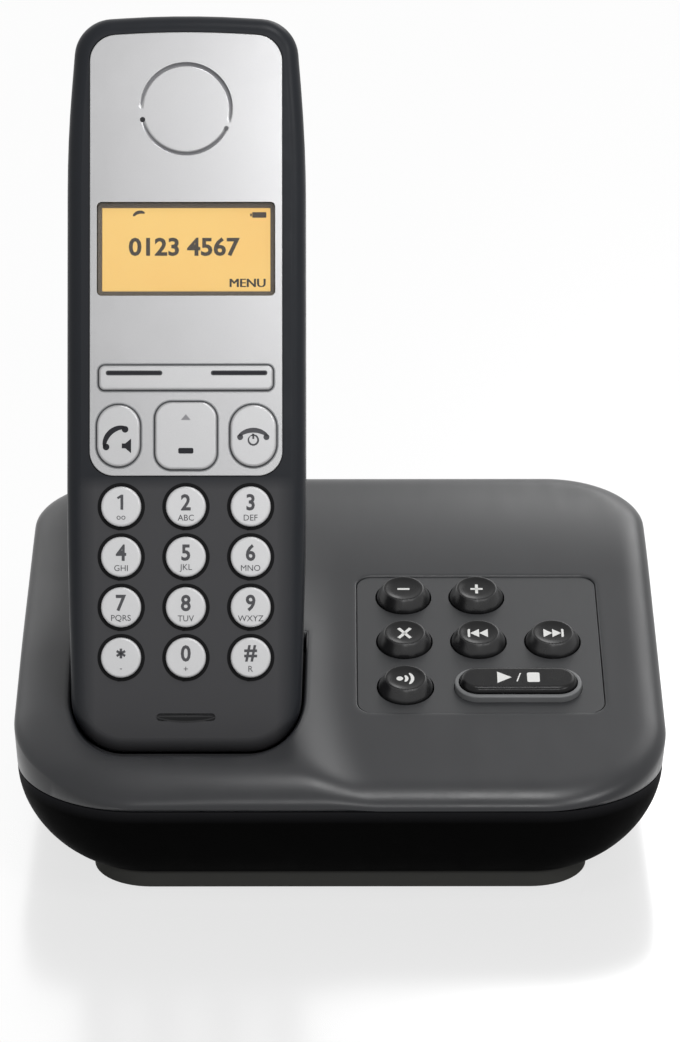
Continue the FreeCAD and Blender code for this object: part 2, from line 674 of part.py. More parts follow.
def make_rear_shell():
    body = new_body("handset_rear_shell", "handset")
    seam_level = f"{SPLIT_IN} - seam_gap / 2"
    seam = draw_on(body, "seam", lift=seam_level)
    outline(seam, handset_outline())
    pad(body, seam, "handset_depth + well_gap - handset_split", reverse=True)
    shape_back(body)
    limit = number("handset_split + seam_gap")
    round_edges(body, "back_round", lambda edge: edge.BoundBox.ZMax < -limit and is_rim(edge))
    cavities = draw_on(body, "cavities", lift=seam_level)
    high_edge = "handset_length - side_wall - part_space"
    low_edge = "door_high + bay_wall"
    width = "handset_width - 2 * side_wall - part_space"
    panel(cavities, "0", "(side_wall + door_low - bay_wall) / 2", width, "door_low - bay_wall - side_wall",
          "hollow_corner")
    panel(cavities, "0", f"({high_edge} + {low_edge}) / 2", width, f"{high_edge} - ({low_edge})",
          "hollow_corner")
    pocket(body, cavities, "top_depth - handset_split - rear_wall")
    posts = screw_circles(body, "posts", seam_level, "boss_radius")
    pad(body, posts, "top_depth - handset_split - rear_wall / 2", reverse=True)
    recess = draw_on(body, "door_recess", lift="-handset_depth + door_thick")
    panel(recess, "0", DOOR_MIDDLE, "door_width + fit_gap", f"{DOOR_TALL} + fit_gap", "door_corner")
    pocket(body, recess, "cut_past")
    bay = draw_on(body, "battery_bay", lift="-handset_depth")
    panel(bay, "0", DOOR_MIDDLE, "2 * (cell_radius + cell_gap) + cell_spacing",
          "cell_length + 2 * (rest_gap + plate_deep + cell_gap)", "cell_round")
    pocket(body, bay, "handset_depth - handset_split - bay_floor", reverse=True)
    slots = draw_on(body, "contact_slots", "XZ_Plane")
    slot_size = "contact_size + 2 * snug_gap"
    for side in ("-1", "1"):
        panel(slots, f"{side} * contact_across", CONTACT_OUT, slot_size, slot_size)
    pocket(body, slots, "contact_thick + snug_gap")
    bores = screw_circles(body, "bores", seam_level, "screw_radius + screw_fit")
    pocket(body, bores, "handset_depth + cut_past")
    heads = screw_circles(body, "head_bores", SCREW_SEAT, "screw_head + head_fit")
    pocket(body, heads, "handset_depth + cut_past")
    return node(body)


def is_rim(edge):
    """True for an edge that runs around the rear shell's outside, not through its seam corners."""
    return edge.BoundBox.ZLength < edge.Length * 0.9 and abs(edge.valueAt(edge.FirstParameter).x) > 1


def make_battery_door():
    body = new_body("battery_door", "handset")
    face = draw_on(body, "face", lift="-handset_depth + door_thick - snug_gap")
    panel(face, "0", DOOR_MIDDLE, "door_width", DOOR_TALL, "door_corner")
    pad(body, face, "door_thick + well_gap", reverse=True)
    shape_back(body)
    return node(body)


def make_fascia():
    body = new_body("silver_fascia", "handset")
    face = draw_on(body, "face", lift="-fascia_thick")
    outline(face, fascia_outline())
    pad(body, face, "fascia_thick + fascia_proud")
    round_edges(body, "trim_round", at_level(number("fascia_proud")))
    openings = draw_on(body, "openings", lift="fascia_proud")
    face_openings(openings, "0")
    circle(openings, "0", EARPIECE_HEIGHT, "earpiece_radius")
    pocket(body, openings, "fascia_thick + cut_past")
    return node(body)


def make_earpiece_disc():
    radius = "earpiece_radius - earpiece_ring"
    thick = "fascia_thick + fascia_proud"
    return node(cylinder("earpiece_disc", radius, thick, "handset", "0", EARPIECE_HEIGHT, "-fascia_thick"))


def plate_node(label, frame, across, up, width, tall, thick, low, rounding=None):
    """A flat rounded plate of the frame, from its low face up."""
    body = new_body(label, frame)
    face = draw_on(body, "face", lift=low)
    panel(face, across, up, width, tall, rounding)
    pad(body, face, thick)
    return body


def make_display():
    low = "-window_sunk - window_thick"
    panel_top = f"{low} - snug_gap"
    panel_low = f"{panel_top} - panel_thick"
    inset_corner = "window_corner - snug_gap"
    node(plate_node("display_window", "handset", "0", WINDOW_HEIGHT, "window_width - fit_gap",
                    "window_tall - fit_gap", "window_thick", low, inset_corner))
    node(plate_node("display_panel", "handset", "0", WINDOW_HEIGHT, "panel_width", "panel_tall",
                    "panel_thick", panel_low))
    frame = plate_node("display_frame", "handset", "0", WINDOW_HEIGHT, "window_width - 2 * snug_gap",
                       "window_tall - 2 * snug_gap", f"{panel_top} - ({DOME_FOOT})", DOME_FOOT, inset_corner)
    hollow = draw_on(frame, "hollow", lift=panel_top)
    panel(hollow, "0", WINDOW_HEIGHT, "panel_width + fit_gap", "panel_tall + fit_gap")
    pocket(frame, hollow, "panel_thick + snug_gap")
    node(frame)


def make_number_key(label, column, line):
    """A round key turned about its own axis: cap, and a flange under the front wall."""
    across, up = key_spot(column, line)
    body = new_body(label, "handset", across, up)
    profile = draw_on(body, "profile", "XZ_Plane")
    outline(profile, [
        ("0", FLANGE_FOOT),
        ("key_radius + flange_edge", FLANGE_FOOT),
        ("key_radius + flange_edge", FLANGE_TOP),
        ("key_radius", FLANGE_TOP),
        ("key_radius", "key_proud", "key_round"),
        ("0", "key_proud"),
    ])
    revolve(body, profile)
    node(body)


def make_bar_key(label, across, up, width, tall, rounding, flange_width, flange_tall):
    """A key with a prism cap standing out of the fascia and a flange under the front wall."""
    body = new_body(label, "handset", across, up)
    cap = draw_on(body, "cap", lift=FLANGE_FOOT)
    panel(cap, "0", "0", f"{width} - 2 * key_gap", f"{tall} - 2 * key_gap", rounding)
    pad(body, cap, f"key_proud - ({FLANGE_FOOT})")
    round_edges(body, "key_round", at_level(number("key_proud")))
    flange = draw_on(body, "flange", lift=FLANGE_FOOT)
    panel(flange, "0", "0", flange_width, flange_tall)
    pad(body, flange, "flange_thick")
    node(body)


def make_call_keys():
    for label, across, width in CALL_KEYS:
        make_bar_key(label, across, CALL_HEIGHT, width, "call_tall", full_round(f"{width} - 2 * key_gap"),
                     f"{width} - 2 * flange_inset", "call_tall + 2 * flange_edge")
    make_bar_key("navigation_key", "0", CALL_HEIGHT, "nav_width", "nav_tall", "nav_corner - key_gap",
                 "nav_width + 2 * flange_edge", "nav_flange")
    make_bar_key("display_rocker", "0", ROCKER_HEIGHT, "rocker_width", "rocker_tall",
                 "rocker_corner - key_gap", "rocker_flange", "rocker_tall + 2 * flange_edge")


def make_handset_inside():
    mat_low = "key_low_row - key_radius - mat_border"
    mat_high = f"{ROCKER_HEIGHT} + rocker_tall"
    node(plate_node("handset_keypad_mat", "handset", "0", f"({mat_low} + {mat_high}) / 2",
                    "2 * key_column + 2 * key_radius + mat_border", f"{mat_high} - ({mat_low})",
                    "mat_thick", MAT_FOOT, "mat_border / 2"))
    domes = []
    for label, column, line in NUMBER_KEYS:
        across, up = key_spot(column, line)
        domes.append(dome(label, across, up))
    for label, across, _ in CALL_KEYS:
        domes.append(dome(label, across, CALL_HEIGHT))
    for side in ("-1", "1"):
        domes.append(dome(f"rocker_{side}", f"{side} * rocker_switch", ROCKER_HEIGHT))
        domes.append(dome(f"navigation_{side}", "0", f"{CALL_HEIGHT} + {side} * nav_switch"))
    node(group("dome_switches", domes))
    board_low = "mic_height + capsule_radius + part_space"
    board_high = f"{EARPIECE_HEIGHT} - speaker_small - part_space"
    node(plate_node("handset_circuit_board", "handset", "0", f"({board_low} + {board_high}) / 2",
                    "handset_width - 2 * side_wall - part_space", f"{board_high} - ({board_low})",
                    "board_thick", BOARD_FOOT, "board_thick"))
    node(cylinder("earpiece_speaker", "speaker_small", "earpiece_thick", "handset", "0", EARPIECE_HEIGHT,
                  f"{INNER_FACE} - rest_gap - earpiece_thick"))
    node(cylinder("microphone_capsule", "capsule_radius", "capsule_thick", "handset", "0", "mic_height",
                  f"{INNER_FACE} - rest_gap - capsule_thick"))
    node(cylinder("ringer_speaker", "speaker_small", "ringer_thick", "handset", "0",
                  "door_high + bay_wall + speaker_small + part_space / 2",
                  f"{BOARD_FOOT} - ringer_thick - snug_gap"))


def dome(name, across, up):
    return cylinder(f"dome_{name}", "dome_radius", "dome_thick - press_gap", "handset", across, up, DOME_FOOT)


def make_power_cells():
    cell_out = "-handset_split - bay_floor - key_gap - cell_radius"
    for label, side in (("battery_cell_left", "-1"), ("battery_cell_right", "1")):
        body = new_body(label, "handset", f"{side} * cell_spacing / 2", "0", cell_out)
        low = f"{DOOR_MIDDLE} - cell_length / 2"
        high = f"{low} + cell_length"
        profile = draw_on(body, "profile", "XY_Plane")
        outline(profile, [
            ("0", low),
            ("cell_radius", low, "cell_round"),
            ("cell_radius", f"{high} - cell_tip", "cell_round"),
            ("cell_tip_radius", f"{high} - cell_tip"),
            ("cell_tip_radius", high),
            ("0", high),
        ])
        revolve(body, profile)
        node(body)
    plates = []
    for side in ("-1", "1"):
        for end in ("-1", "1"):
            up = f"{DOOR_MIDDLE} + {end} * (cell_length / 2 + rest_gap + plate_deep / 2)"
            plates.append(block(f"battery_plate_{side}_{end}", "plate_size", "plate_deep", "plate_size",
                                "handset", f"{side} * cell_spacing / 2", up, f"{cell_out} - plate_size / 2"))
    node(group("battery_contacts", plates))


def make_handset_fittings():
    contacts = []
    screws = []
    for side in ("-1", "1"):
        contacts.append(block(f"charge_contact_{side}", "contact_size", "contact_thick", "contact_size",
                              "handset", f"{side} * contact_across", "contact_thick / 2 + press_gap",
                              f"{CONTACT_OUT} - contact_size / 2"))
    for index, (side, up) in enumerate(SCREW_SPOTS):
        across = f"{side} * {SCREW_ACROSS}"
        shank = cylinder(f"handset_shank_{index}", "screw_radius", "screw_length", "handset", across, up,
                         f"{SCREW_SEAT} - head_thick / 2")
        top = cylinder(f"handset_head_{index}", "screw_head", "head_thick", "handset", across, up,
                       f"{SCREW_SEAT} - head_thick - press_gap")
        screws.append(fuse(f"handset_screw_{index}", [shank, top]))
    node(group("handset_charge_contacts", contacts))
    node(group("handset_screws", screws))


# ---------------------------------------------------------------- base covers

REAR_TOP = "(front_height + slope_break * tan(top_slope) + (base_depth - slope_break) * tan(rear_slope))"
BREAK_TOP = "(front_height + slope_break * tan(top_slope))"
CRADLE_RIGHT = f"({HANDSET_ACROSS} + handset_width / 2 + well_gap + cradle_wall)"
BASE_SCREWS = (
    (f"{CRADLE_RIGHT} + boss_radius + base_screw_space", "base_screw_front - base_depth / 2"),
    ("base_screw_side", "base_screw_front - base_depth / 2"),
    ("-base_screw_side", "base_depth / 2 - base_screw_rear"),
    ("base_screw_side", "base_depth / 2 - base_screw_rear"),
)
SOCKETS = (("power_socket", "power_across"), ("phone_line_socket", "line_across"))
BUTTONS = (
    ("volume_down_key", -1, 1), ("volume_up_key", 0, 1),
    ("delete_key", -1, 0), ("skip_back_key", 0, 0), ("skip_forward_key", 1, 0),
    ("paging_key", -1, -1),
)
FIELD_ACROSS = f"(({CRADLE_RIGHT} + base_width / 2) / 2 - field_shift)"
PILL_ACROSS = f"{FIELD_ACROSS} + button_pitch / 2"
THROUGH = "(2 * (front_height + base_width + base_depth))"
PILL_UP = "field_up + button_rise - button_pitch"
COVER_UNDER = "-cover_wall"


def button_spot(column, line):
    return f"{FIELD_ACROSS} + button_pitch * ({column})", f"field_up + button_rise + button_pitch * ({line})"


def side_profile(drawing, drop, inset, low):
    """The base seen from the side, its top lowered square to the slope and its ends drawn in."""
    front = f"-base_depth / 2 + ({inset})"
    rear = f"base_depth / 2 - ({inset})"
    fall = f"({drop}) / cos(top_slope)"
    outline(drawing, [
        (front, low),
        (rear, low),
        (rear, f"{REAR_TOP} - {fall} - ({inset}) * tan(rear_slope)"),
        ("-base_depth / 2 + slope_break", f"{BREAK_TOP} - {fall}", "break_round"),
        (front, f"front_height - {fall} + ({inset}) * tan(top_slope)"),
    ])


def rim_distance(x, y):
    """How far inside the base's plan outline a point lies."""
    half_width = number("base_width / 2")
    half_depth = number("base_depth / 2")
    radius = number("front_corner") if y < 0 else number("rear_corner")
    past_x = abs(x) - (half_width - radius)
    past_y = abs(y) - (half_depth - radius)
    if past_x > 0 and past_y > 0:
        return radius - math.hypot(past_x, past_y)
    return radius - max(past_x, past_y)


def on_rim(edge):
    """True for an upper edge of the base's side wall."""
    middle = edge.valueAt((edge.FirstParameter + edge.LastParameter) / 2)
    flat = edge.BoundBox.ZMax < number("seam_height") + 0.01
    upright = edge.BoundBox.ZLength > edge.Length * 0.98
    return abs(rim_distance(middle.x, middle.y)) < 0.05 and not flat and not upright


def make_top_cover():
    body = new_body("top_cover_outside")
    side = draw_on(body, "side", "YZ_Plane")
    side_profile(side, "0", "0", "seam_height")
    pad(body, side, "base_width + 2", symmetric=True)
    pod = draw_on(body, "pod", frame="slope")
    outline(pod, pod_outline())
    raised = extrude(body, "Pad", pod, "pod_rise")
    raised.setExpression("TaperAngle", bound("-pod_incline"))
    checked(body, raised, True)
    round_edges(body, "pod_round", is_pod_edge)
    ring = draw_on(body, "plan")
    outline(ring, base_outline())
    panel(ring, "0", "0", "base_width + 2 * cut_past", "base_depth + 2 * cut_past")
    pocket(body, ring, THROUGH, symmetric=True)
    round_edges(body, "edge_round", on_rim)
    cut_well(body)
    field = draw_on(body, "field", frame="slope")
    panel(field, FIELD_ACROSS, "field_up", "field_width", "field_tall", "field_corner")
    pocket(body, field, "field_deep")
    holes = draw_on(body, "button_holes", frame="slope")
    button_openings(holes)
    pocket(body, holes, "2 * cover_wall")
    sockets = draw_on(body, "socket_openings", "XZ_Plane", lift="-base_depth / 2")
    for _, across in SOCKETS:
        panel(sockets, across, "socket_height", "socket_mouth + 2 * mouth_lip",
              "socket_mouth_tall + 2 * mouth_lip", "mouth_corner")
    pocket(body, sockets, "2 * cover_wall", reverse=True)
    bores = base_screw_circles(body, "screw_bores", "seam_height", "screw_radius + screw_fit")
    pocket(body, bores, "base_screw_bite", reverse=True)
    room_side = new_body("top_cover_room_side")
    profile = draw_on(room_side, "profile", "YZ_Plane")
    side_profile(profile, "cover_wall", "cover_wall", "seam_height - cover_wall")
    pad(room_side, profile, "base_width + 2", symmetric=True)
    room_plan = new_body("top_cover_room_plan")
    plan = draw_on(room_plan, "plan")
    outline(plan, base_outline("cover_wall"))
    pad(room_plan, plan, "front_height + base_depth")
    pocket(room_plan, base_screw_circles(room_plan, "posts", "0", "boss_radius"), THROUGH, symmetric=True)
    room = common("top_cover_room", room_side, room_plan)
    doc.recompute()
    node(cut("base_top_cover", body, room))


def pod_outline():
    """The foot of the cradle's raised surround, in the slope's frame, swept to the right at the front."""
    left = "-base_width / 2 - 1"
    right = f"{HANDSET_ACROSS} + pod_reach"
    return [
        (left, "-pod_front"),
        ("base_width / 2 - front_corner - pod_stop", "-pod_front"),
        (right, "pod_bend", "pod_sweep"),
        (right, "pod_top", "pod_corner"),
        (left, "pod_top", "pod_corner"),
    ]


def is_pod_edge(edge):
    """True for the crest of the surround's sides."""
    inverse = Placement(Vector(0, -number("base_depth / 2"), number("front_height")),
                        Rotation(Vector(1, 0, 0), number("top_slope"))).inverse()
    middle = inverse.multVec(edge.valueAt((edge.FirstParameter + edge.LastParameter) / 2))
    ends = [inverse.multVec(vertex.Point).z for vertex in edge.Vertexes]
    crest = number("pod_rise")
    return all(abs(height - crest) < 0.01 for height in ends + [middle.z])


def cut_well(body):
    """Clear the handset's outline, grown by its clearance, square to its face."""
    well = draw_on(body, "well", frame="handset", out=f"-{WELL_BACK}")
    outline(well, handset_outline("-well_gap", WELL_FLOOR))
    pocket(body, well, f"{WELL_BACK} + handset_length", reverse=True)


def button_openings(drawing):
    """The openings of the base's keys, in the slope's frame."""
    for _, column, line in BUTTONS:
        across, up = button_spot(column, line)
        circle(drawing, across, up, "button_radius + fit_gap")
    tall = "pill_tall + 2 * ring_edge + fit_gap"
    panel(drawing, PILL_ACROSS, PILL_UP, "pill_length + 2 * ring_edge + fit_gap", tall, full_round(tall))


def base_screw_circles(body, name, lift, radius):
    drawing = draw_on(body, name, lift=lift)
    for across, back in BASE_SCREWS:
        circle(drawing, across, back, radius)
    return drawing


BOWL_ANGLES = (0, 22, 42, 60, 76, 90)


def bowl_sections(body, name, top, low, inset):
    """Rounded rectangles that shrink along a quarter ellipse from the seam down to the pedestal."""
    sections = []
    for angle in BOWL_ANGLES:
        shrink = f"(1 - cos({angle}))"
        half = f"base_width / 2 - ({inset}) - (base_width - pedestal_width) / 2 * {shrink}"
        deep = f"base_depth / 2 - ({inset}) - (base_depth - pedestal_depth) / 2 * {shrink}"
        level = f"{top} - ({top} - ({low})) * sin({angle})"
        narrow = f"- ({inset}) - (front_corner - pedestal_corner) * {shrink}"
        section = draw_on(body, f"{name}_{angle}", lift=level)
        outline(section, mirrored([
            (half, f"-({deep})", f"front_corner {narrow}"),
            (half, deep, f"rear_corner - ({inset}) - (rear_corner - pedestal_corner) * {shrink}"),
        ]))
        sections.append(section)
    return sections


def loft(body, kind, sections, name):
    feature = body.newObject(f"PartDesign::{kind}", name)
    feature.Profile = sections[0]
    feature.Sections = sections[1:]
    return checked(body, feature, kind == "AdditiveLoft")


BOTTOM_TOP = "(seam_height - seam_gap)"
FLOOR = "(pedestal_height + cover_wall)"
SCREW_SEAT_BASE = "(seam_height - base_screw_sunk)"


def make_bottom_cover():
    body = new_body("base_bottom_cover")
    outside = bowl_sections(body, "outer", BOTTOM_TOP, "pedestal_height", "bottom_inset")
    loft(body, "AdditiveLoft", outside, "bowl")
    room = bowl_sections(body, "inner", f"({BOTTOM_TOP} + press_gap)", FLOOR, "bottom_inset + cover_wall")
    loft(body, "SubtractiveLoft", room, "bowl_room")
    pedestal = draw_on(body, "pedestal", lift="foot_proud")
    panel(pedestal, "0", "0", "pedestal_width", "pedestal_depth", "pedestal_corner")
    pad(body, pedestal, "pedestal_height - foot_proud + cover_wall / 4")
    posts = base_screw_circles(body, "posts", "pedestal_height", "boss_radius")
    pad(body, posts, f"{BOTTOM_TOP} - pedestal_height")
    pocket(body, base_screw_circles(body, "heads", SCREW_SEAT_BASE, "screw_head + head_fit"), "seam_height")
    bores = base_screw_circles(body, "bores", BOTTOM_TOP, "screw_radius + screw_fit")
    pocket(body, bores, "seam_height")
    feet = draw_on(body, "foot_recesses", lift="foot_proud")
    for across, back in foot_spots():
        circle(feet, across, back, "foot_radius + snug_gap")
    pocket(body, feet, "foot_sunk", reverse=True)
    grille = draw_on(body, "grille")
    slots = int(number("(speaker_radius - grille_margin) / grille_pitch"))
    for line in range(-slots, slots + 1):
        reach = f"sqrt((speaker_radius - grille_margin) ^ 2 - (grille_pitch * {line}) ^ 2)"
        panel(grille, "speaker_across", f"speaker_back + grille_pitch * ({line})", f"2 * {reach}",
              "grille_slot", full_round("grille_slot"))
    pocket(body, grille, f"{FLOOR} + cover_wall", reverse=True)
    node(body)


def foot_spots():
    across = "(pedestal_width / 2 - foot_inset)"
    back = "(pedestal_depth / 2 - foot_inset)"
    return [(f"{side} * {across}", f"{end} * {back}") for side in ("-1", "1") for end in ("-1", "1")]


def make_feet_and_screws():
    feet = []
    for index, (across, back) in enumerate(foot_spots()):
        tall = "foot_proud + foot_sunk"
        feet.append(cylinder(f"foot_{index}", "foot_radius", tall, "world", across, back))
    node(group("rubber_feet", feet))
    screws = []
    for index, (across, back) in enumerate(BASE_SCREWS):
        shank = cylinder(f"base_shank_{index}", "screw_radius", "base_screw_length", "world", across, back,
                         f"{SCREW_SEAT_BASE} - head_thick / 2")
        top = cylinder(f"base_head_{index}", "screw_head", "head_thick", "world", across, back,
                       f"{SCREW_SEAT_BASE} - head_thick - press_gap")
        screws.append(fuse(f"base_screw_{index}", [shank, top]))
    node(group("base_screws", screws))


# ---------------------------------------------------------------- cradle

CONTACT_BACK = "(handset_split + contact_deep)"
HOLDER_TOP = f"{WELL_FLOOR} - cradle_wall - press_gap"


def make_cradle():
    """The leaning trough for the handset, cut off flush under the top cover."""
    body = new_body("charging_cradle")
    outer = draw_on(body, "outer", frame="handset", out=f"-{WELL_BACK} - cradle_wall")
    outline(outer, handset_outline("-well_gap - cradle_wall", f"{WELL_FLOOR} - cradle_wall"))
    pad(body, outer, f"{WELL_BACK} + cradle_wall + cut_past")
    above = draw_on(body, "above", "YZ_Plane")
    level = "front_height - (cover_wall + snug_gap) / cos(top_slope)"
    outline(above, [
        ("-base_depth", f"{level} - base_depth / 2 * tan(top_slope)"),
        ("base_depth", f"{level} + base_depth * 1.5 * tan(top_slope)"),
        ("base_depth", THROUGH),
        ("-base_depth", THROUGH),
    ])
    pocket(body, above, THROUGH, symmetric=True)
    cut_well(body)
    pins = draw_on(body, "pin_holes", frame="cradle", out=WELL_FLOOR)
    for side in ("-1", "1"):
        circle(pins, f"{side} * contact_across", CONTACT_BACK, "pin_radius + pin_fit")
    pocket(body, pins, "cut_past", symmetric=True)
    node(body)


def make_charge_pins():
    """Two sprung pins in a block that sits under the cradle's floor."""
    holder = new_body("charge_contact_holder", "cradle")
    seat = draw_on(holder, "seat", lift=HOLDER_TOP)
    panel(seat, "0", CONTACT_BACK, "2 * (contact_across + holder_end)", "holder_deep", "pin_radius")
    pad(holder, seat, "holder_tall", reverse=True)
    bores = draw_on(holder, "bores", lift=HOLDER_TOP)
    for side in ("-1", "1"):
        circle(bores, f"{side} * contact_across", CONTACT_BACK, "pin_radius + pin_fit")
    pocket(holder, bores, "holder_tall + cut_past")
    node(holder)
    pin_foot = f"{HOLDER_TOP} - holder_tall + pin_travel + snug_gap"
    pin_tip = "-rest_gap / 2"
    for label, side in (("charge_pin_left", "-1"), ("charge_pin_right", "1")):
        pin = new_body(label, "cradle", f"{side} * contact_across", CONTACT_BACK)
        profile = draw_on(pin, "profile", "XZ_Plane")
        outline(profile, [
            ("0", pin_foot),
            ("pin_radius", pin_foot),
            ("pin_radius", pin_tip, "pin_radius - rest_gap"),
            ("0", pin_tip),
        ])
        revolve(pin, profile)
        node(pin)


# ---------------------------------------------------------------- base keys

BUTTON_FLANGE_TOP = f"{COVER_UNDER} - rest_gap"
BUTTON_FOOT = f"{BUTTON_FLANGE_TOP} - flange_thick"
BASE_MAT_TOP = f"{BUTTON_FOOT} - button_travel - press_gap"
BASE_MAT_FOOT = f"{BASE_MAT_TOP} - mat_thick"
BASE_BOARD_TOP = f"{BASE_MAT_FOOT} - dome_thick"
PLATE_LOW = "-field_deep"


def make_field_plate():
    plate = plate_node("key_field_plate", "slope", FIELD_ACROSS, "field_up", "field_width - fit_gap",
                       "field_tall - fit_gap", "plate_thick", PLATE_LOW, "field_corner")
    holes = draw_on(plate, "holes", lift=PLATE_LOW)
    button_openings(holes)
    pocket(plate, holes, "cut_past", reverse=True)
    node(plate)


def make_buttons():
    """Round keys: a flange under the cover, a conical side and a dished top."""
    for label, column, line in BUTTONS:
        across, up = button_spot(column, line)
        body = new_body(label, "slope", across, up)
        profile = draw_on(body, "profile", "XZ_Plane")
        outline(profile, [
            ("0", BUTTON_FOOT),
            ("button_radius + flange_edge", BUTTON_FOOT),
            ("button_radius + flange_edge", BUTTON_FLANGE_TOP),
            ("button_radius", BUTTON_FLANGE_TOP),
            ("button_radius", "button_foot"),
            ("button_top", "button_proud", "button_round"),
            ("button_top / 2", "button_proud - button_dish", "button_top / 2"),
            ("0", "button_proud - button_dish"),
        ])
        revolve(body, profile)
        node(body)


def make_play_key():
    body = new_body("play_stop_key", "slope", PILL_ACROSS, PILL_UP)
    cap = draw_on(body, "cap", lift=BUTTON_FOOT)
    panel(cap, "0", "0", "pill_length", "pill_tall", full_round("pill_tall"))
    pad(body, cap, f"button_proud - ({BUTTON_FOOT})")
    round_edges(body, "pill_round", at_level(number("button_proud")))
    flange = draw_on(body, "flange", lift=BUTTON_FOOT)
    panel(flange, "0", "0", "pill_length + 2 * flange_edge", "pill_tall + 2 * flange_edge", "pill_tall / 2")
    pad(body, flange, "flange_thick")
    node(body)
    ring = new_body("play_key_light_ring", "slope", PILL_ACROSS, PILL_UP)
    rim = draw_on(ring, "rim", lift=COVER_UNDER)
    outer = "pill_tall + 2 * ring_edge"
    inner = "pill_tall + 2 * key_gap"
    panel(rim, "0", "0", "pill_length + 2 * ring_edge", outer, full_round(outer))
    pad(ring, rim, f"ring_proud - ({COVER_UNDER})")
    round_edges(ring, "ring_round", at_level(number("ring_proud")))
    hole = draw_on(ring, "hole", lift=COVER_UNDER)
    panel(hole, "0", "0", "pill_length + 2 * key_gap", inner, full_round(inner))
    pocket(ring, hole, "cut_past", reverse=True)
    node(ring)


def make_base_boards():
    node(plate_node("base_key_mat", "slope", FIELD_ACROSS, "field_up", "field_width", "field_tall",
                    "mat_thick", BASE_MAT_FOOT, "field_corner"))
    domes = []
    for label, column, line in BUTTONS + (("play_stop_key", 0.5, -1),):
        across, up = button_spot(column, line)
        domes.append(cylinder(f"switch_{label}", "dome_radius", "dome_thick - press_gap", "slope", across, up,
                              BASE_BOARD_TOP))
    node(group("base_tact_switches", domes))
    node(plate_node("base_circuit_board", "slope", FIELD_ACROSS, "field_up", "field_width + part_space",
                    "field_tall + 2 * part_space", "board_thick", f"{BASE_BOARD_TOP} - board_thick",
                    "field_corner"))
    low = f"{BASE_BOARD_TOP} - board_thick - press_gap - antenna_tall"
    antennas = [block(f"antenna_{side}", "antenna_width", "antenna_thick", "antenna_tall", "slope",
                      f"{FIELD_ACROSS} + ({side}) * (field_width / 2 - antenna_width / 2 - part_space)",
                      "field_up + field_tall / 2 - part_space", low)
                for side in ("-1", "1")]
    node(group("antennas", antennas))


def make_loudspeaker():
    spot = ("speaker_across", "speaker_back", f"{FLOOR} + snug_gap")
    frame = new_body("loudspeaker_frame", "world", *spot)
    profile = draw_on(frame, "profile", "XZ_Plane")
    outline(profile, [
        ("0", "speaker_tall - 3.4"), ("speaker_radius * 0.42", "speaker_tall - 3.4"),
        ("speaker_radius * 0.88", "0"), ("speaker_radius", "0"), ("speaker_radius", "1.2"),
        ("speaker_radius * 0.92", "1.2"), ("speaker_radius * 0.5", "speaker_tall - 2.4"),
        ("speaker_radius * 0.5", "speaker_tall"), ("0", "speaker_tall"),
    ])
    revolve(frame, profile)
    node(frame)
    cone = new_body("loudspeaker_cone", "world", *spot)
    skin = draw_on(cone, "profile", "XZ_Plane")
    outline(skin, [
        ("0", "speaker_tall - 4.2"), ("speaker_radius * 0.36", "speaker_tall - 4.2"),
        ("speaker_radius * 0.8", "0.1"), ("speaker_radius * 0.84", "0.1"),
        ("speaker_radius * 0.40", "speaker_tall - 3.7"), ("0", "speaker_tall - 3.7"),
    ])
    revolve(cone, skin)
    node(cone)


def make_sockets():
    """Modular sockets: boxes whose mouths face the rear."""
    for label, across in SOCKETS:
        body = new_body(label, "world", across)
        rear = "-(base_depth / 2 - cover_wall - snug_gap)"
        face = draw_on(body, "face", "XZ_Plane", lift=rear)
        panel(face, "0", "socket_height", "socket_width", "socket_tall", "mouth_corner")
        pad(body, face, "socket_deep")
        mouth = draw_on(body, "mouth", "XZ_Plane", lift=rear)
        panel(mouth, "0", "socket_height", "socket_mouth", "socket_mouth_tall", "mouth_corner")
        pocket(body, mouth, "socket_deep - socket_wall", reverse=True)
        node(body)


# ---------------------------------------------------------------- the whole


def build():
    make_front_shell()
    make_rear_shell()
    make_fascia()
    make_earpiece_disc()
    make_display()
    for label, column, line in NUMBER_KEYS:
        make_number_key(label, column, line)
    make_call_keys()
    make_handset_inside()
    make_battery_door()
    make_power_cells()
    make_handset_fittings()
    make_top_cover()
    make_bottom_cover()
    make_feet_and_screws()
    make_cradle()
    make_charge_pins()
    make_field_plate()
    make_buttons()
    make_play_key()
    make_base_boards()
    make_loudspeaker()
    make_sockets()


def check_and_export():
    doc.recompute()
    for thing in doc.Objects:
        if "Invalid" in thing.State or "Error" in thing.State:
            raise RuntimeError(f"{thing.Name} failed: {thing.State}")
    os.makedirs("parts", exist_ok=True)
    for thing in NODES:
        shape = thing.Shape
        if shape.isNull() or not shape.isValid() or not shape.Solids:
            raise RuntimeError(f"{thing.Label} has no valid solid")
        shape.exportStep(f"parts/{thing.Label}.step")
        print(f"{thing.Label}: {len(shape.Solids)} solids, {shape.Volume:.0f} mm3")


build()
check_and_export()
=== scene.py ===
import json
import math

import bmesh
import bpy
from mathutils import Matrix, Vector
from mathutils.geometry import convex_hull_2d, delaunay_2d_cdt


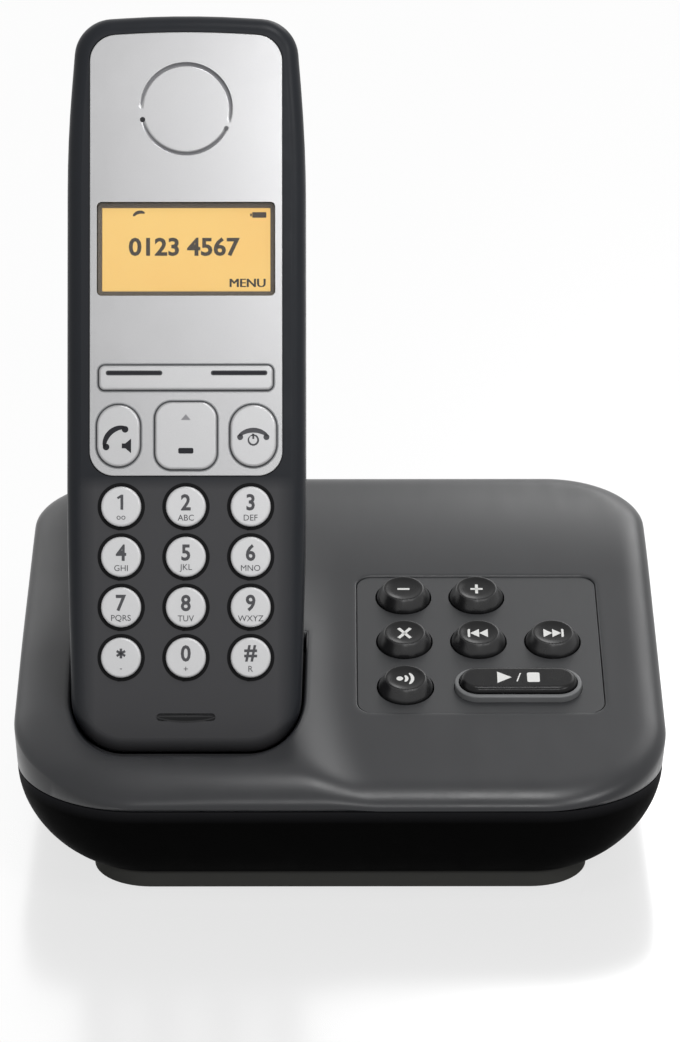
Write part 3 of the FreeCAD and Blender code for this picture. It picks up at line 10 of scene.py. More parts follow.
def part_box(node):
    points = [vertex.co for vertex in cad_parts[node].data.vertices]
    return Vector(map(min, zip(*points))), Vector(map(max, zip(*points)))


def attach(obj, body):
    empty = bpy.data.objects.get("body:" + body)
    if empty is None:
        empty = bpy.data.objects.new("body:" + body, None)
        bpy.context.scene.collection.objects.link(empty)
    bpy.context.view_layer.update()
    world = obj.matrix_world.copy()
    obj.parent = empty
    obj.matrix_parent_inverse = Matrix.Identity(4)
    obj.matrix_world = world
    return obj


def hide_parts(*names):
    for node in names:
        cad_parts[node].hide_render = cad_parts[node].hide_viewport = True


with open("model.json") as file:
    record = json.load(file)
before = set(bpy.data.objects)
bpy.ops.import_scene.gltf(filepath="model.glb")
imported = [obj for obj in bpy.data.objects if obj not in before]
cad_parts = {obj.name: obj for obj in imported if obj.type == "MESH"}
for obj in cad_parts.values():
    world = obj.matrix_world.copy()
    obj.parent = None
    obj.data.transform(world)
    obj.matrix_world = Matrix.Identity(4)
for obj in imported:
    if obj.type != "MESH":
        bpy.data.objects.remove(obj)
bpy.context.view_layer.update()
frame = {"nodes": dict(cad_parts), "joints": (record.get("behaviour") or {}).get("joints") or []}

NODES = frame["nodes"]
MM = 0.001

# Sizes are in millimetres and angles of constants in degrees, unless a comment says otherwise.

# ---- shader helpers

BUMP_HEIGHT = 0.02
WEAR_RADIUS = 0.35
EDGE_LEAN = (0.86, 0.99)
CLOUD_SCALE = 45
RUB_SCALE = 260
GRAIN_DARK = 0.86
WORN_PALE = 2.2
COAT_ROUGH = 0.12
GLOW_LIFT = (1.03, 1.14, 1.2)


def material(name):
    """A new material, its tree and its Principled shader."""
    made = bpy.data.materials.new(name)
    made.use_nodes = True
    tree = made.node_tree
    return made, tree, tree.nodes["Principled BSDF"]


def add(tree, kind, inputs=None, **settings):
    """A shader node with its inputs, each a value or a socket, and its settings."""
    item = tree.nodes.new(kind)
    for key, value in settings.items():
        setattr(item, key, value)
    for key, value in (inputs or {}).items():
        if isinstance(value, bpy.types.NodeSocket):
            tree.links.new(value, item.inputs[key])
        else:
            item.inputs[key].default_value = value
    return item


def math_node(tree, operation, first, second=0.0, clamp=False):
    """The result of a Math node."""
    return add(tree, "ShaderNodeMath", {0: first, 1: second},
               operation=operation, use_clamp=clamp).outputs[0]


def noise(tree, scale, detail=2.0, rough=0.5, stretch=(1, 1, 1)):
    """Noise over the surface's points, in metres, with a scale along each axis."""
    coords = add(tree, "ShaderNodeTexCoord").outputs["Object"]
    place = add(tree, "ShaderNodeMapping", {"Vector": coords, "Scale": stretch}).outputs[0]
    return add(tree, "ShaderNodeTexNoise", {
        "Vector": place, "Scale": scale, "Detail": detail, "Roughness": rough,
    }).outputs["Fac"]


def spread(tree, value, low, high, from_low=0.3, from_high=0.7):
    """The value, remapped."""
    return add(tree, "ShaderNodeMapRange", {
        "Value": value, "From Min": from_low, "From Max": from_high, "To Min": low, "To Max": high,
    }).outputs[0]


def mix_colour(tree, share, first, second):
    """A mix of two colours."""
    return add(tree, "ShaderNodeMix", {0: share, 6: first, 7: second}, data_type="RGBA").outputs[2]


def srgb(red, green, blue):
    """A shader's colour from 0 to 255 sRGB."""
    def linear(value):
        value /= 255
        return value / 12.92 if value <= 0.04045 else ((value + 0.055) / 1.055) ** 2.4
    return (linear(red), linear(green), linear(blue), 1)


def shade(colour, *factors):
    """A colour times one factor, or one for each part, held at 1."""
    factors = factors if len(factors) > 1 else factors * 3
    return tuple(min(1, part * factor) for part, factor in zip(colour, factors)) + (1,)


def edge_mask(tree, radius):
    """Near 1 along convex edges, from how far a rounded normal leans from the true one."""
    soft = add(tree, "ShaderNodeBevel", {"Radius": radius}, samples=4).outputs[0]
    true = add(tree, "ShaderNodeNewGeometry").outputs["Normal"]
    dot = add(tree, "ShaderNodeVectorMath", {0: soft, 1: true}, operation="DOT_PRODUCT")
    return spread(tree, dot.outputs["Value"], 1.0, 0.0, *EDGE_LEAN)


def plastic(name, colour, rough, grain=0.2, bump=0.12, mottle=0.06, wear=0.05, metal=0.0,
            coat=0.0, specular=0.5, rub=0.04):
    """Moulded or painted plastic: fine grain, cloudy colour, handling marks and worn edges."""
    made, tree, shader = material(name)
    colour = srgb(*colour)
    clouds = noise(tree, CLOUD_SCALE, 3)
    fine = noise(tree, 1 / (grain * MM))
    rubs = noise(tree, RUB_SCALE, 4, 0.6, (1, 0.12, 1))
    base = mix_colour(tree, spread(tree, clouds, 0, 1),
                      shade(colour, 1 - mottle), shade(colour, 1 + mottle))
    base = mix_colour(tree, spread(tree, fine, 0, 0.5), base, shade(colour, GRAIN_DARK))
    if wear:
        worn = math_node(tree, "MULTIPLY", edge_mask(tree, WEAR_RADIUS * MM),
                         spread(tree, clouds, 0.2, 1))
        base = mix_colour(tree, math_node(tree, "MULTIPLY", worn, wear),
                          base, shade(colour, WORN_PALE))
    tree.links.new(base, shader.inputs["Base Color"])
    smear = spread(tree, rubs, -rub, rub, 0.35, 0.65)
    haze = spread(tree, clouds, -rub, rub)
    level = math_node(tree, "ADD", math_node(tree, "ADD", smear, haze), rough, True)
    tree.links.new(level, shader.inputs["Roughness"])
    relief = add(tree, "ShaderNodeBump",
                 {"Strength": bump, "Distance": BUMP_HEIGHT * MM, "Height": fine})
    tree.links.new(relief.outputs[0], shader.inputs["Normal"])
    shader.inputs["Metallic"].default_value = metal
    shader.inputs["Coat Weight"].default_value = coat
    shader.inputs["Coat Roughness"].default_value = COAT_ROUGH
    shader.inputs["Specular IOR Level"].default_value = specular
    return made


def ink(name, colour, rough=0.6, specular=0.1, mottle=0.05):
    """Print, or the dull painted shade of a gap, hole or recess."""
    return plastic(name, colour, rough, bump=0.1, mottle=mottle, wear=0, specular=specular)


def metallic(name, colour, rough, mottle, wear, metal, **more):
    """Metal, or paint with metal in it, of a fine grain."""
    return plastic(name, colour, rough, 0.1, 0.1, mottle, wear, metal, **more)


def clear(name, colour, alpha):
    """A clear pane with faint rub marks."""
    made, tree, shader = material(name)
    rubs = noise(tree, 400, 3, 0.6, (1, 0.2, 1))
    tree.links.new(spread(tree, rubs, 0.03, 0.12), shader.inputs["Roughness"])
    shader.inputs["Base Color"].default_value = srgb(*colour)
    shader.inputs["Alpha"].default_value = alpha
    return made


def glowing(made, colour, level):
    """Light a material from within, in slow clouds of its colour."""
    tree = made.node_tree
    shader = tree.nodes["Principled BSDF"]
    cloud = spread(tree, noise(tree, 70, 3), 0, 0.6)
    colour = srgb(*colour)
    lit = mix_colour(tree, cloud, colour, shade(colour, *GLOW_LIFT))
    tree.links.new(lit, shader.inputs["Emission Color"])
    shader.inputs["Emission Strength"].default_value = level


def tint(made, mask_of, colour):
    """Lay a second colour over a material where a mask says."""
    tree = made.node_tree
    shader = tree.nodes["Principled BSDF"]
    first = shader.inputs["Base Color"].links[0].from_socket
    mixed = mix_colour(tree, mask_of(tree), first, srgb(*colour))
    tree.links.new(mixed, shader.inputs["Base Color"])


def along(tree, direction, origin=0.0):
    """How far, in metres, the surface lies along a direction from an origin."""
    coords = add(tree, "ShaderNodeTexCoord").outputs["Object"]
    dot = add(tree, "ShaderNodeVectorMath", {0: coords, 1: direction}, operation="DOT_PRODUCT")
    return math_node(tree, "SUBTRACT", dot.outputs["Value"], origin)


# ---- planes of the part


class Plane:
    """A flat face of the part: across is X, up lies in the face and out is square to it."""

    def __init__(self, press_joint):
        pushed = next(joint for joint in frame["joints"] if joint["name"] == press_joint)
        self.out = -Vector(pushed["axis"]).normalized()
        self.across = Vector((1, 0, 0))
        self.up = self.out.cross(self.across)
        self.turn = Matrix((self.across, self.up, self.out)).transposed().to_4x4()

    def spot(self, across, up, out):
        """World place, in metres, of a point."""
        return (self.across * across + self.up * up + self.out * out) * MM

    def reach(self, node):
        """Lowest and highest across, up and out of a CAD node."""
        points = [(self.across.dot(v.co), self.up.dot(v.co), self.out.dot(v.co))
                  for v in NODES[node].data.vertices]
        low = Vector([min(part) for part in zip(*points)]) / MM
        high = Vector([max(part) for part in zip(*points)]) / MM
        return low, high

    def middle(self, node):
        """Middle across and up of a CAD node, and how far out it stands."""
        low, high = self.reach(node)
        return (low.x + high.x) / 2, (low.y + high.y) / 2, high.z


FACE = Plane("key_5_press")
SLOPE = Plane("delete_key_press")

# ---- materials

FASCIA_LOW, FASCIA_HIGH = FACE.reach("silver_fascia")
PEDESTAL_TOP = 4
SEAM_LIGHT_FADE = 2.8
LOWER_FACE_HALF = (18.5, 22.5)
LOWER_FACE_FADE = 3


def lower_face(tree):
    """The handset's face below the fascia, between its sides."""
    edge = FASCIA_LOW.y * MM
    middle = (FASCIA_LOW.x + FASCIA_HIGH.x) / 2 * MM
    low = spread(tree, along(tree, FACE.up), 1, 0, edge - LOWER_FACE_FADE * MM, edge)
    side = math_node(tree, "ABSOLUTE", along(tree, FACE.across, middle))
    inner, outer = (half * MM for half in LOWER_FACE_HALF)
    return math_node(tree, "MULTIPLY", low, spread(tree, side, 1, 0, inner, outer))


def pedestal(tree):
    """The base's foot, up to its top edge."""
    height = along(tree, (0, 0, 1))
    return spread(tree, height, 1, 0, (PEDESTAL_TOP - 0.5) * MM, (PEDESTAL_TOP + 0.5) * MM)


def painted_light_below_seam(tree):
    """Painted light: the bowl's uppermost few millimetres, which fade into the cover above, lighter
    where light from above falls.
    """
    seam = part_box("base_top_cover")[0].z
    return spread(tree, along(tree, (0, 0, 1)), 0, 1, seam - SEAM_LIGHT_FADE * MM, seam)


BLACK_SHELL = plastic("black_shell", (36, 38, 42), 0.36, grain=0.15, specular=0.12)
tint(BLACK_SHELL, lower_face, (68, 68, 70))
# The rear shell's own black, set darker than the front shell partly as painted shade for the
# handset's shaded side.
REAR_BLACK = plastic("rear_black", (24, 24, 26), 0.42, grain=0.15, bump=0.2, wear=0.12,
                     specular=0.12)
BASE_GREY = plastic("base_grey", (32, 33, 36), 0.32, grain=0.22, bump=0.14, specular=0.42,
                    rub=0.022)
FIELD_GREY = plastic("field_grey", (42, 43, 45), 0.42, grain=0.22, bump=0.2, specular=0.45)
UNDER_BLACK = plastic("under_black", (5, 5, 5), 0.6, bump=0.2, wear=0, specular=0.015)
tint(UNDER_BLACK, pedestal, (64, 64, 62))
# Painted light: a lighter grey on the bowl's top edge, fading down to black below the seam.
tint(UNDER_BLACK, painted_light_below_seam, (34, 34, 36))
SILVER = metallic("silver_paint", (165, 165, 166), 0.25, 0.015, 0.04, 0.6, rub=0.012)
KEY_SILVER = metallic("key_silver", (205, 205, 206), 0.34, 0.02, 0.05, 0.2, rub=0.015, coat=0.1)
CALL_SILVER = metallic("call_silver", (180, 180, 181), 0.3, 0.02, 0.04, 0.45, rub=0.015)
BLACK_KEY = plastic("black_key", (14, 14, 15), 0.25, specular=0.2)
KEY_SKIRT = plastic("key_skirt", (30, 30, 31), 0.3, specular=0.4)
RUBBER = plastic("rubber", (28, 28, 28), 0.75, grain=0.25, bump=0.4, wear=0)
DARK_INSIDE = plastic("dark_inside", (20, 20, 22), 0.5, grain=0.25, bump=0.3, wear=0,
                      specular=0.25)
STEEL = metallic("steel", (180, 178, 172), 0.28, 0.03, 0.3, 1.0)
GOLD = metallic("gold_contact", (214, 178, 104), 0.24, 0.03, 0.3, 1.0)
AMBER = plastic("amber_panel", (150, 118, 58), 0.5, grain=0.3, bump=0.05, mottle=0.03, wear=0,
                specular=0.1)
glowing(AMBER, (249, 202, 113), 0.72)
PALE_RING = plastic("pale_ring", (120, 121, 122), 0.4, bump=0.1, mottle=0.03, specular=0.3)
INK = ink("key_ink", (46, 46, 50))
SOFT_INK = ink("soft_ink", (88, 88, 91))
PALE_INK = ink("pale_ink", (150, 150, 153))
LCD_INK = ink("display_ink", (48, 36, 12), specular=0.05)
ICON_WHITE = ink("icon_white", (236, 236, 234), specular=0.5, mottle=0.02)
# Painted shade: flat grey and near-black rings for the shadow in the gaps and recesses round the
# handset's keys. The darker grey also edges the printed soft-key dashes.
GROOVE_SHADE_AND_DASH_EDGE = ink("gap_dark", (80, 81, 83))
GROOVE_SHADE_SOFT = ink("groove_shade_soft", (150, 151, 153), 0.5, 0.2)
RECESS_SHADE = ink("recess_shade", (24, 24, 25), specular=0.06)
# Painted shade: the grey of the deep faces of the earpiece's crescents.
GROOVE_SHADE_GREY = ink("groove_shade_grey", (134, 134, 137), 0.5)
# Painted shade: the darker and the paler tone of the earpiece's pin holes.
HOLE_SHADE_DARK = ink("hole_shade_dark", (56, 56, 58), 0.7)
HOLE_SHADE_PALE = ink("hole_shade_pale", (110, 110, 112), 0.7)
# Painted shade: the soft and the darker grey of the microphone scoop's crescent.
SCOOP_SHADE_SOFT = plastic("scoop_shade_soft", (56, 56, 57), 0.5, grain=0.15, wear=0, specular=0.1)
SCOOP_SHADE_DARK = plastic("scoop_shade_dark", (36, 36, 37), 0.5, grain=0.15, wear=0, specular=0.06)
FRAME_BROWN = ink("frame_brown", (84, 72, 54), 0.5, 0.2)
WINDOW = clear("clear_window", (240, 240, 240), 0.05)
CELL_WRAP = plastic("cell_wrap", (60, 92, 84), 0.4, bump=0.1, mottle=0.05, wear=0.1)
BOARD = plastic("board_green", (28, 74, 48), 0.45, bump=0.15, wear=0)
MAT_GREY = plastic("keypad_mat", (96, 97, 99), 0.7, bump=0.2, mottle=0.05, wear=0)

FINISHES = (
    (BLACK_SHELL, "handset_front_shell"),
    (REAR_BLACK, "handset_rear_shell battery_door power_socket phone_line_socket"),
    (SILVER, "silver_fascia earpiece_disc"),
    (CALL_SILVER, "display_rocker talk_key end_key navigation_key"),
    (WINDOW, "display_window"),
    (FRAME_BROWN, "display_frame"),
    (AMBER, "display_panel"),
    (BASE_GREY, "base_top_cover"),
    (FIELD_GREY, "key_field_plate"),
    (UNDER_BLACK, "base_bottom_cover"),
    (RUBBER, "rubber_feet"),
    (PALE_RING, "play_key_light_ring"),
    (STEEL, "handset_screws base_screws battery_contacts dome_switches base_tact_switches "
            "microphone_capsule loudspeaker_frame"),
    (GOLD, "handset_charge_contacts charge_pin_left charge_pin_right antennas"),
    (BOARD, "handset_circuit_board base_circuit_board"),
    (CELL_WRAP, "battery_cell_left battery_cell_right"),
    (MAT_GREY, "handset_keypad_mat base_key_mat"),
)
FINISH = {name: finish for finish, names in FINISHES for name in names.split()}


def finish_of(name):
    """A CAD node's material: its own, its kind of key's or the inside's."""
    if name in FINISH:
        return FINISH[name]
    if name.startswith("key_"):
        return KEY_SILVER
    return BLACK_KEY if name.endswith("_key") else DARK_INSIDE


def dress_nodes():
    """Give every CAD node its material."""
    for name, node in NODES.items():
        node.data.materials.clear()
        node.data.materials.append(finish_of(name))


# ---- piece helpers

PRINT_THICK = 0.03
HAIR = 0.004


def polar(x, y, radius, turn):
    """The point at a distance and an angle in radians from a centre."""
    return x + radius * math.cos(turn), y + radius * math.sin(turn)


def placed(name, data):
    """A new object of the scene."""
    thing = bpy.data.objects.new(name, data)
    bpy.context.scene.collection.objects.link(thing)
    return thing


def finish_piece(name, body, finish, mesh, smooth):
    """An object of a mesh, with its finish or finishes, that rides on a body."""
    for polygon in mesh.polygons:
        polygon.use_smooth = smooth
    thing = placed(name, mesh)
    for each in (finish if isinstance(finish, list) else [finish]):
        mesh.materials.append(each)
    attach(thing, body)
    return thing


def from_bmesh(name, body, finish, shape, smooth=True):
    """A piece from a bmesh in world metres, its faces turned outwards."""
    mesh = bpy.data.meshes.new(name)
    bmesh.ops.recalc_face_normals(shape, faces=shape.faces)
    shape.to_mesh(mesh)
    shape.free()
    return finish_piece(name, body, finish, mesh, smooth)


def join_rings(shape, outer, inner):
    """Faces between two closed rings of as many vertices."""
    count = len(outer)
    for index in range(count):
        after = (index + 1) % count
        shape.faces.new((outer[index], outer[after], inner[after], inner[index]))


def printed(name, body, finish, plane, spot, outlines, thick=PRINT_THICK):
    """Flat marks a hair thick: outlines of (across, up) points about a spot on a plane."""
    across, up, out = spot
    shape = bmesh.new()
    for outline in outlines:
        foot = [shape.verts.new(plane.spot(across + x, up + y, out)) for x, y in outline]
        top = [shape.verts.new(plane.spot(across + x, up + y, out + thick)) for x, y in outline]
        shape.faces.new(foot)
        shape.faces.new(top)
        join_rings(shape, foot, top)
    return from_bmesh(name, body, finish, shape, False)


def text_mesh(words, tall, bold, squeeze):
    """The words as a mesh about its middle, in Blender's own font."""
    curve = bpy.data.curves.new("words", "FONT")
    curve.body = words
    curve.size = tall
    curve.offset = bold
    curve.extrude = PRINT_THICK / 2
    curve.resolution_u = 3
    thing = placed("words", curve)
    bpy.context.view_layer.update()
    shown = thing.evaluated_get(bpy.context.evaluated_depsgraph_get())
    mesh = bpy.data.meshes.new_from_object(shown)
    bpy.data.objects.remove(thing)
    xs = [vertex.co.x for vertex in mesh.vertices]
    ys = [vertex.co.y for vertex in mesh.vertices]
    middle = Vector(((min(xs) + max(xs)) / 2, (min(ys) + max(ys)) / 2, -PRINT_THICK / 2))
    mesh.transform(Matrix.Diagonal((squeeze, 1, 1, 1)) @ Matrix.Translation(-middle))
    return mesh


def lettering(name, body, finish, plane, lines):
    """Printed words: lines of (words, tall, across, up, out, bold, squeeze), in one piece."""
    shape = bmesh.new()
    for words, tall, across, up, out, bold, squeeze in lines:
        mesh = text_mesh(words, tall, bold, squeeze)
        place = Matrix.Translation(plane.spot(across, up, out))
        mesh.transform(place @ plane.turn @ Matrix.Scale(MM, 4))
        shape.from_mesh(mesh)
        bpy.data.meshes.remove(mesh)
    return from_bmesh(name, body, finish, shape, False)


def round_mark(x, y, radius, steps=20):
    """A disc's outline."""
    return [polar(x, y, radius, 2 * math.pi * step / steps) for step in range(steps)]


def bar_mark(x0, y0, x1, y1, wide):
    """A straight stroke between two points."""
    length = math.hypot(x1 - x0, y1 - y0)
    side_x = (y0 - y1) / length * wide / 2
    side_y = (x1 - x0) / length * wide / 2
    return [(x0 + side_x, y0 + side_y), (x0 - side_x, y0 - side_y),
            (x1 - side_x, y1 - side_y), (x1 + side_x, y1 + side_y)]


def arc_mark(x, y, radius, start, end, wide, steps=18):
    """A curved stroke about a centre, from one angle to another, thinner at its ends."""
    inner = []
    outer = []
    for step in range(steps + 1):
        share = step / steps
        turn = math.radians(start + (end - start) * share)
        half = wide / 2 * (0.35 + 0.65 * math.sin(math.pi * share) ** 0.5)
        outer.append(polar(x, y, radius + half, turn))
        inner.append(polar(x, y, radius - half, turn))
    return outer + inner[::-1]


def rounded_box(x, y, wide, tall, radius, steps=5):
    """A rounded rectangle about a point, anticlockwise."""
    points = []
    for corner, (side, end) in enumerate(((1, 1), (-1, 1), (-1, -1), (1, -1))):
        for step in range(steps + 1):
            turn = math.pi / 2 * (corner + step / steps)
            points.append(polar(x + side * (wide / 2 - radius), y + end * (tall / 2 - radius),
                                radius, turn))
    return points


def clamped(value, low=0, high=1):
    """The value, held between two others."""
    return min(max(value, low), high)


def eased(share):
    """A share from 0 to 1 that starts and ends softly."""
    return share * share * (3 - 2 * share)


# ---- base top cover: its form

BASE_LOW, BASE_HIGH = (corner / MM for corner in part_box("base_top_cover"))
HALF_WIDTH = (BASE_HIGH.x - BASE_LOW.x) / 2
HALF_DEPTH = (BASE_HIGH.y - BASE_LOW.y) / 2
SEAM = BASE_LOW.z
FRONT_CORNER = 26
REAR_CORNER = 21
COVER_WALL = 2.3
SKIN_THICK = 0.8
SHARP_ANGLE = 38

# The top: a slope that flattens towards the rear.
FRONT_TOP = SEAM + 3
SLOPE_OUT = SLOPE.out.dot(Vector((0, -HALF_DEPTH, FRONT_TOP)))
TOP_RISE = -SLOPE.out.y / SLOPE.out.z
REAR_RISE = math.tan(math.radians(5))
BREAK_BACK = 31
BREAK_SOFT = 2.0

# The rolled lip round the top, wider along the left shoulder.
LIP_WIDE = 6.0
LIP_DROP = 2.75
LIP_STEPS = 8
LIP_SPACE = 0.8
LEFT_SHOULDER = 3.6
LIP_MIDDLE = 20
LIP_BLEND = 30

# The surround that rises round the handset. Its foot line follows POD_RIGHT, then sweeps from
# POD_KNEE to POD_FRONT; it fades out over POD_FADE, up to POD_BACK. Places are (x, up).
POD_RISE = 2.2
POD_RUN = 14.0
POD_RIGHT = 1.8
POD_FRONT = (9, -3)
POD_KNEE = (POD_RIGHT, 20)
POD_BACK = 92
POD_FADE = 46
POD_SWEEP_SOFT = 6
POD_FRONT_SOFT = 5
POD_FRONT_REACH = 2

# The mouth of the handset's well, in the handset's own plane.
HANDSET_LOW, HANDSET_HIGH = FACE.reach("handset_front_shell")
WELL_GAP = 0.38
WELL_ROUND = 0.7
WELL_TAPER = 1.2
WELL_CORNER = 11.8
WELL_DEPTH = 25
WELL_FRONT_STEPS, WELL_STEPS, WELL_REAR_STEPS = 6, 16, 12
WAIST = 45.5
WELL_BOTTOM = HANDSET_LOW.y - 0.15
WELL_SIDE = (HANDSET_HIGH.x - HANDSET_LOW.x) / 2 + WELL_GAP
WELL_MIDDLE = (HANDSET_HIGH.x + HANDSET_LOW.x) / 2
WELL_OUT = HANDSET_HIGH.z
WELL_BACK = WELL_OUT - WELL_DEPTH - 2 * WELL_GAP
WELL_SEARCH = 60
BISECTIONS = 40


def soft_least(first, second, width):
    """The smaller value, blended where the two are close."""
    gap = max(width - abs(first - second), 0) / width
    return min(first, second) - gap * gap * width / 4


def slope_level(y):
    """Height of the top without the cradle's surround."""
    front = FRONT_TOP + (y + HALF_DEPTH) * TOP_RISE
    break_level = FRONT_TOP + (BREAK_BACK + HALF_DEPTH) * TOP_RISE
    return soft_least(front, break_level + (y - BREAK_BACK) * REAR_RISE, BREAK_SOFT)


def pod_level(x, y):
    """Rise of the cradle's surround."""
    up = (y + HALF_DEPTH) / SLOPE.out.z
    run_x = POD_FRONT[0] - POD_KNEE[0]
    run_y = POD_KNEE[1] - POD_FRONT[1]
    length = math.hypot(run_x, run_y)
    sweep = ((POD_FRONT[0] - x) * run_y - (up - POD_FRONT[1]) * run_x) / length
    inside = -soft_least(-(POD_RIGHT - x), -sweep, POD_SWEEP_SOFT)
    inside = soft_least(inside, up - POD_FRONT[1] + POD_FRONT_REACH, POD_FRONT_SOFT)
    share = clamped(inside / POD_RUN)
    fade = eased(clamped((POD_BACK - up) / POD_FADE))
    return POD_RISE / SLOPE.out.z * share * share * (2 - share * share) * fade


def rim_inset(x, y):
    """How far inside the cover's outline a point lies."""
    radius = FRONT_CORNER if y < 0 else REAR_CORNER
    past_x = abs(x) - (HALF_WIDTH - radius)
    past_y = abs(y) - (HALF_DEPTH - radius)
    if past_x > 0 and past_y > 0:
        return radius - math.hypot(past_x, past_y)
    return radius - max(past_x, past_y)


def top_level(x, y):
    """Height of the finished top, with its rolled lip."""
    wide = LIP_WIDE + LEFT_SHOULDER * eased(clamped((-x - LIP_MIDDLE) / LIP_BLEND))
    inset = clamped(rim_inset(x, y), 0, wide)
    lip = LIP_DROP * (1 - math.sqrt(1 - (1 - inset / wide) ** 2))
    return slope_level(y) + pod_level(x, y) - lip


def bisected(low, high, is_low):
    """The value where a test that holds at the lower of two values stops holding."""
    for _ in range(BISECTIONS):
        value = (low + high) / 2
        if is_low(value):
            low = value
        else:
            high = value
    return value


def under_top(across, up, out):
    """True if a point in the handset's plane lies under the top."""
    point = FACE.spot(across, up, out) / MM
    return point.z <= slope_level(point.y) + pod_level(point.x, point.y)


def out_at_top(across, up):
    """How far out, square to the handset's face, a line through (across, up) meets the top."""
    return bisected(WELL_BACK - WELL_SEARCH, WELL_OUT + WELL_SEARCH,
                    lambda out: under_top(across, up, out))


def rear_level(across):
    """How far up the well's rear wall meets the top."""
    return bisected(WELL_BOTTOM, WAIST, lambda up: under_top(across, up, WELL_BACK))


def well_outline():
    """The mouth of the well: (across, up, out) points, anticlockwise seen from above."""
    lean = math.atan2(WELL_TAPER, WAIST - WELL_BOTTOM)
    reach = WELL_CORNER / math.tan((math.pi / 2 + lean) / 2)
    middle_x = WELL_SIDE - WELL_TAPER - reach
    middle_y = WELL_BOTTOM + WELL_CORNER

    def side(up):
        return WELL_SIDE - WELL_TAPER + (up - WELL_BOTTOM) * math.tan(lean)

    right = [(middle_x * step / WELL_FRONT_STEPS, WELL_BOTTOM) for step in range(WELL_FRONT_STEPS)]
    for step in range(WELL_STEPS + 1):
        turn = -math.pi / 2 + (math.pi / 2 - lean) * step / WELL_STEPS
        right.append(polar(middle_x, middle_y, WELL_CORNER, turn))
    start = right[-1][1]
    end = bisected(start, WAIST, lambda up: out_at_top(WELL_MIDDLE + side(up), up) > WELL_BACK)
    for step in range(1, WELL_STEPS + 1):
        up = start + (end - start) * step / WELL_STEPS
        right.append((side(up), up))
    path = [(WELL_MIDDLE + x, up, out_at_top(WELL_MIDDLE + x, up)) for x, up in right]
    rear_x = right[-1][0]
    for step in range(1, WELL_REAR_STEPS):
        across = WELL_MIDDLE + rear_x * (1 - 2 * step / WELL_REAR_STEPS)
        path.append((across, rear_level(across), WELL_BACK))
    return path + [(2 * WELL_MIDDLE - across, up, out)
                   for across, up, out in path[len(right) - 1:0:-1]]


# ---- base top cover: its mesh

CORNER_STEPS = 26
SIDE_STEP = 1.6
RIM_STEPS = 4
GRID = 1.5
NET_MERGE = 1e-5
CHAMFER = 0.15
TUCK = 0.45
UNDER_REACH = 2
FIELD_ROUND = 0.35
FIELD_DEEP = 1.4
FIELD_CORNER = 3.4
FIELD_LEDGE = 1.5
FIELD_MARGIN = 1.2
PLATE_GAP = 0.15
SOCKET_NODES = ("power_socket", "phone_line_socket")
SOCKET_MOUTH = (9.2, 8.2)
SOCKET_CORNER = 0.5


def plan_ring(inset):
    """The cover's outline drawn in by an inset, anticlockwise from the middle of the rear."""
    points = []
    corners = ((-1, 1, REAR_CORNER, 90), (-1, -1, FRONT_CORNER, 180),
               (1, -1, FRONT_CORNER, 270), (1, 1, REAR_CORNER, 0))
    for side, end, radius, first in corners:
        for step in range(CORNER_STEPS + 1):
            turn = math.radians(first + 90 * step / CORNER_STEPS)
            points.append(polar(side * (HALF_WIDTH - radius), end * (HALF_DEPTH - radius),
                                radius - inset, turn))
    return fill_sides(points)


def fill_sides(points):
    """Add points along the long straight sides, as many on every ring."""
    filled = []
    for index, here in enumerate(points):
        after = points[(index + 1) % len(points)]
        filled.append(here)
        if index % (CORNER_STEPS + 1) == CORNER_STEPS:
            count = round(math.dist(here, after) / SIDE_STEP)
            for step in range(1, count):
                share = step / count
                filled.append((here[0] + (after[0] - here[0]) * share,
                               here[1] + (after[1] - here[1]) * share))
    return filled


def grown(loop, distance):
    """A plan loop, anticlockwise, moved outwards."""
    moved = []
    for index, here in enumerate(loop):
        before = loop[index - 1]
        after = loop[(index + 1) % len(loop)]
        first = Vector((here[1] - before[1], before[0] - here[0])).normalized()
        second = Vector((after[1] - here[1], here[0] - after[0])).normalized()
        way = (first + second).normalized()
        reach = distance / max(way.dot(first), 0.6)
        moved.append((here[0] + way.x * reach, here[1] + way.y * reach))
    return moved


def inside_loop(x, y, loop):
    """True if the point lies in the closed plan loop."""
    found = False
    for index, (x1, y1) in enumerate(loop):
        x0, y0 = loop[index - 1]
        if (y0 > y) != (y1 > y) and x < (x1 - x0) * (y - y0) / (y1 - y0) + x0:
            found = not found
    return found


def ring_verts(shape, loop, level=None, drop=0.0):
    """Vertices of a plan loop on the top, or at a level."""
    return [shape.verts.new(
        Vector((x, y, (top_level(x, y) if level is None else level) - drop)) * MM)
        for x, y in loop]


def edge_rings(shape, size, plan):
    """Rings of an opening's rounded edge; plan gives its loop at a distance outwards."""
    turns = [math.pi / 2 * step / RIM_STEPS for step in range(RIM_STEPS + 1)]
    return [ring_verts(shape, plan(size * (1 - math.cos(turn))), None, size * (1 - math.sin(turn)))
            for turn in turns]


def loop_edges(start, count):
    """Pairs of neighbours in a closed loop of points numbered from start."""
    return [(start + index, start + (index + 1) % count) for index in range(count)]


def within(x, y, loop, holes):
    """True if the point lies in the loop and in none of the holes."""
    return inside_loop(x, y, loop) and not any(inside_loop(x, y, hole) for hole in holes)


def fill_net(shape, points, edges, verts, loop, holes):
    """Triangles over flat points, held by edges, inside a loop and outside its holes."""
    flat = [Vector(point) for point in points]
    spots, _, faces, origins, _, _ = delaunay_2d_cdt(flat, edges, [], 0, NET_MERGE)
    for face in faces:
        x = sum(spots[index].x for index in face) / 3
        y = sum(spots[index].y for index in face) / 3
        if within(x, y, loop, holes):
            corners = [verts[origins[index][0]] for index in face]
            if shape.faces.get(corners) is None:
                shape.faces.new(corners)


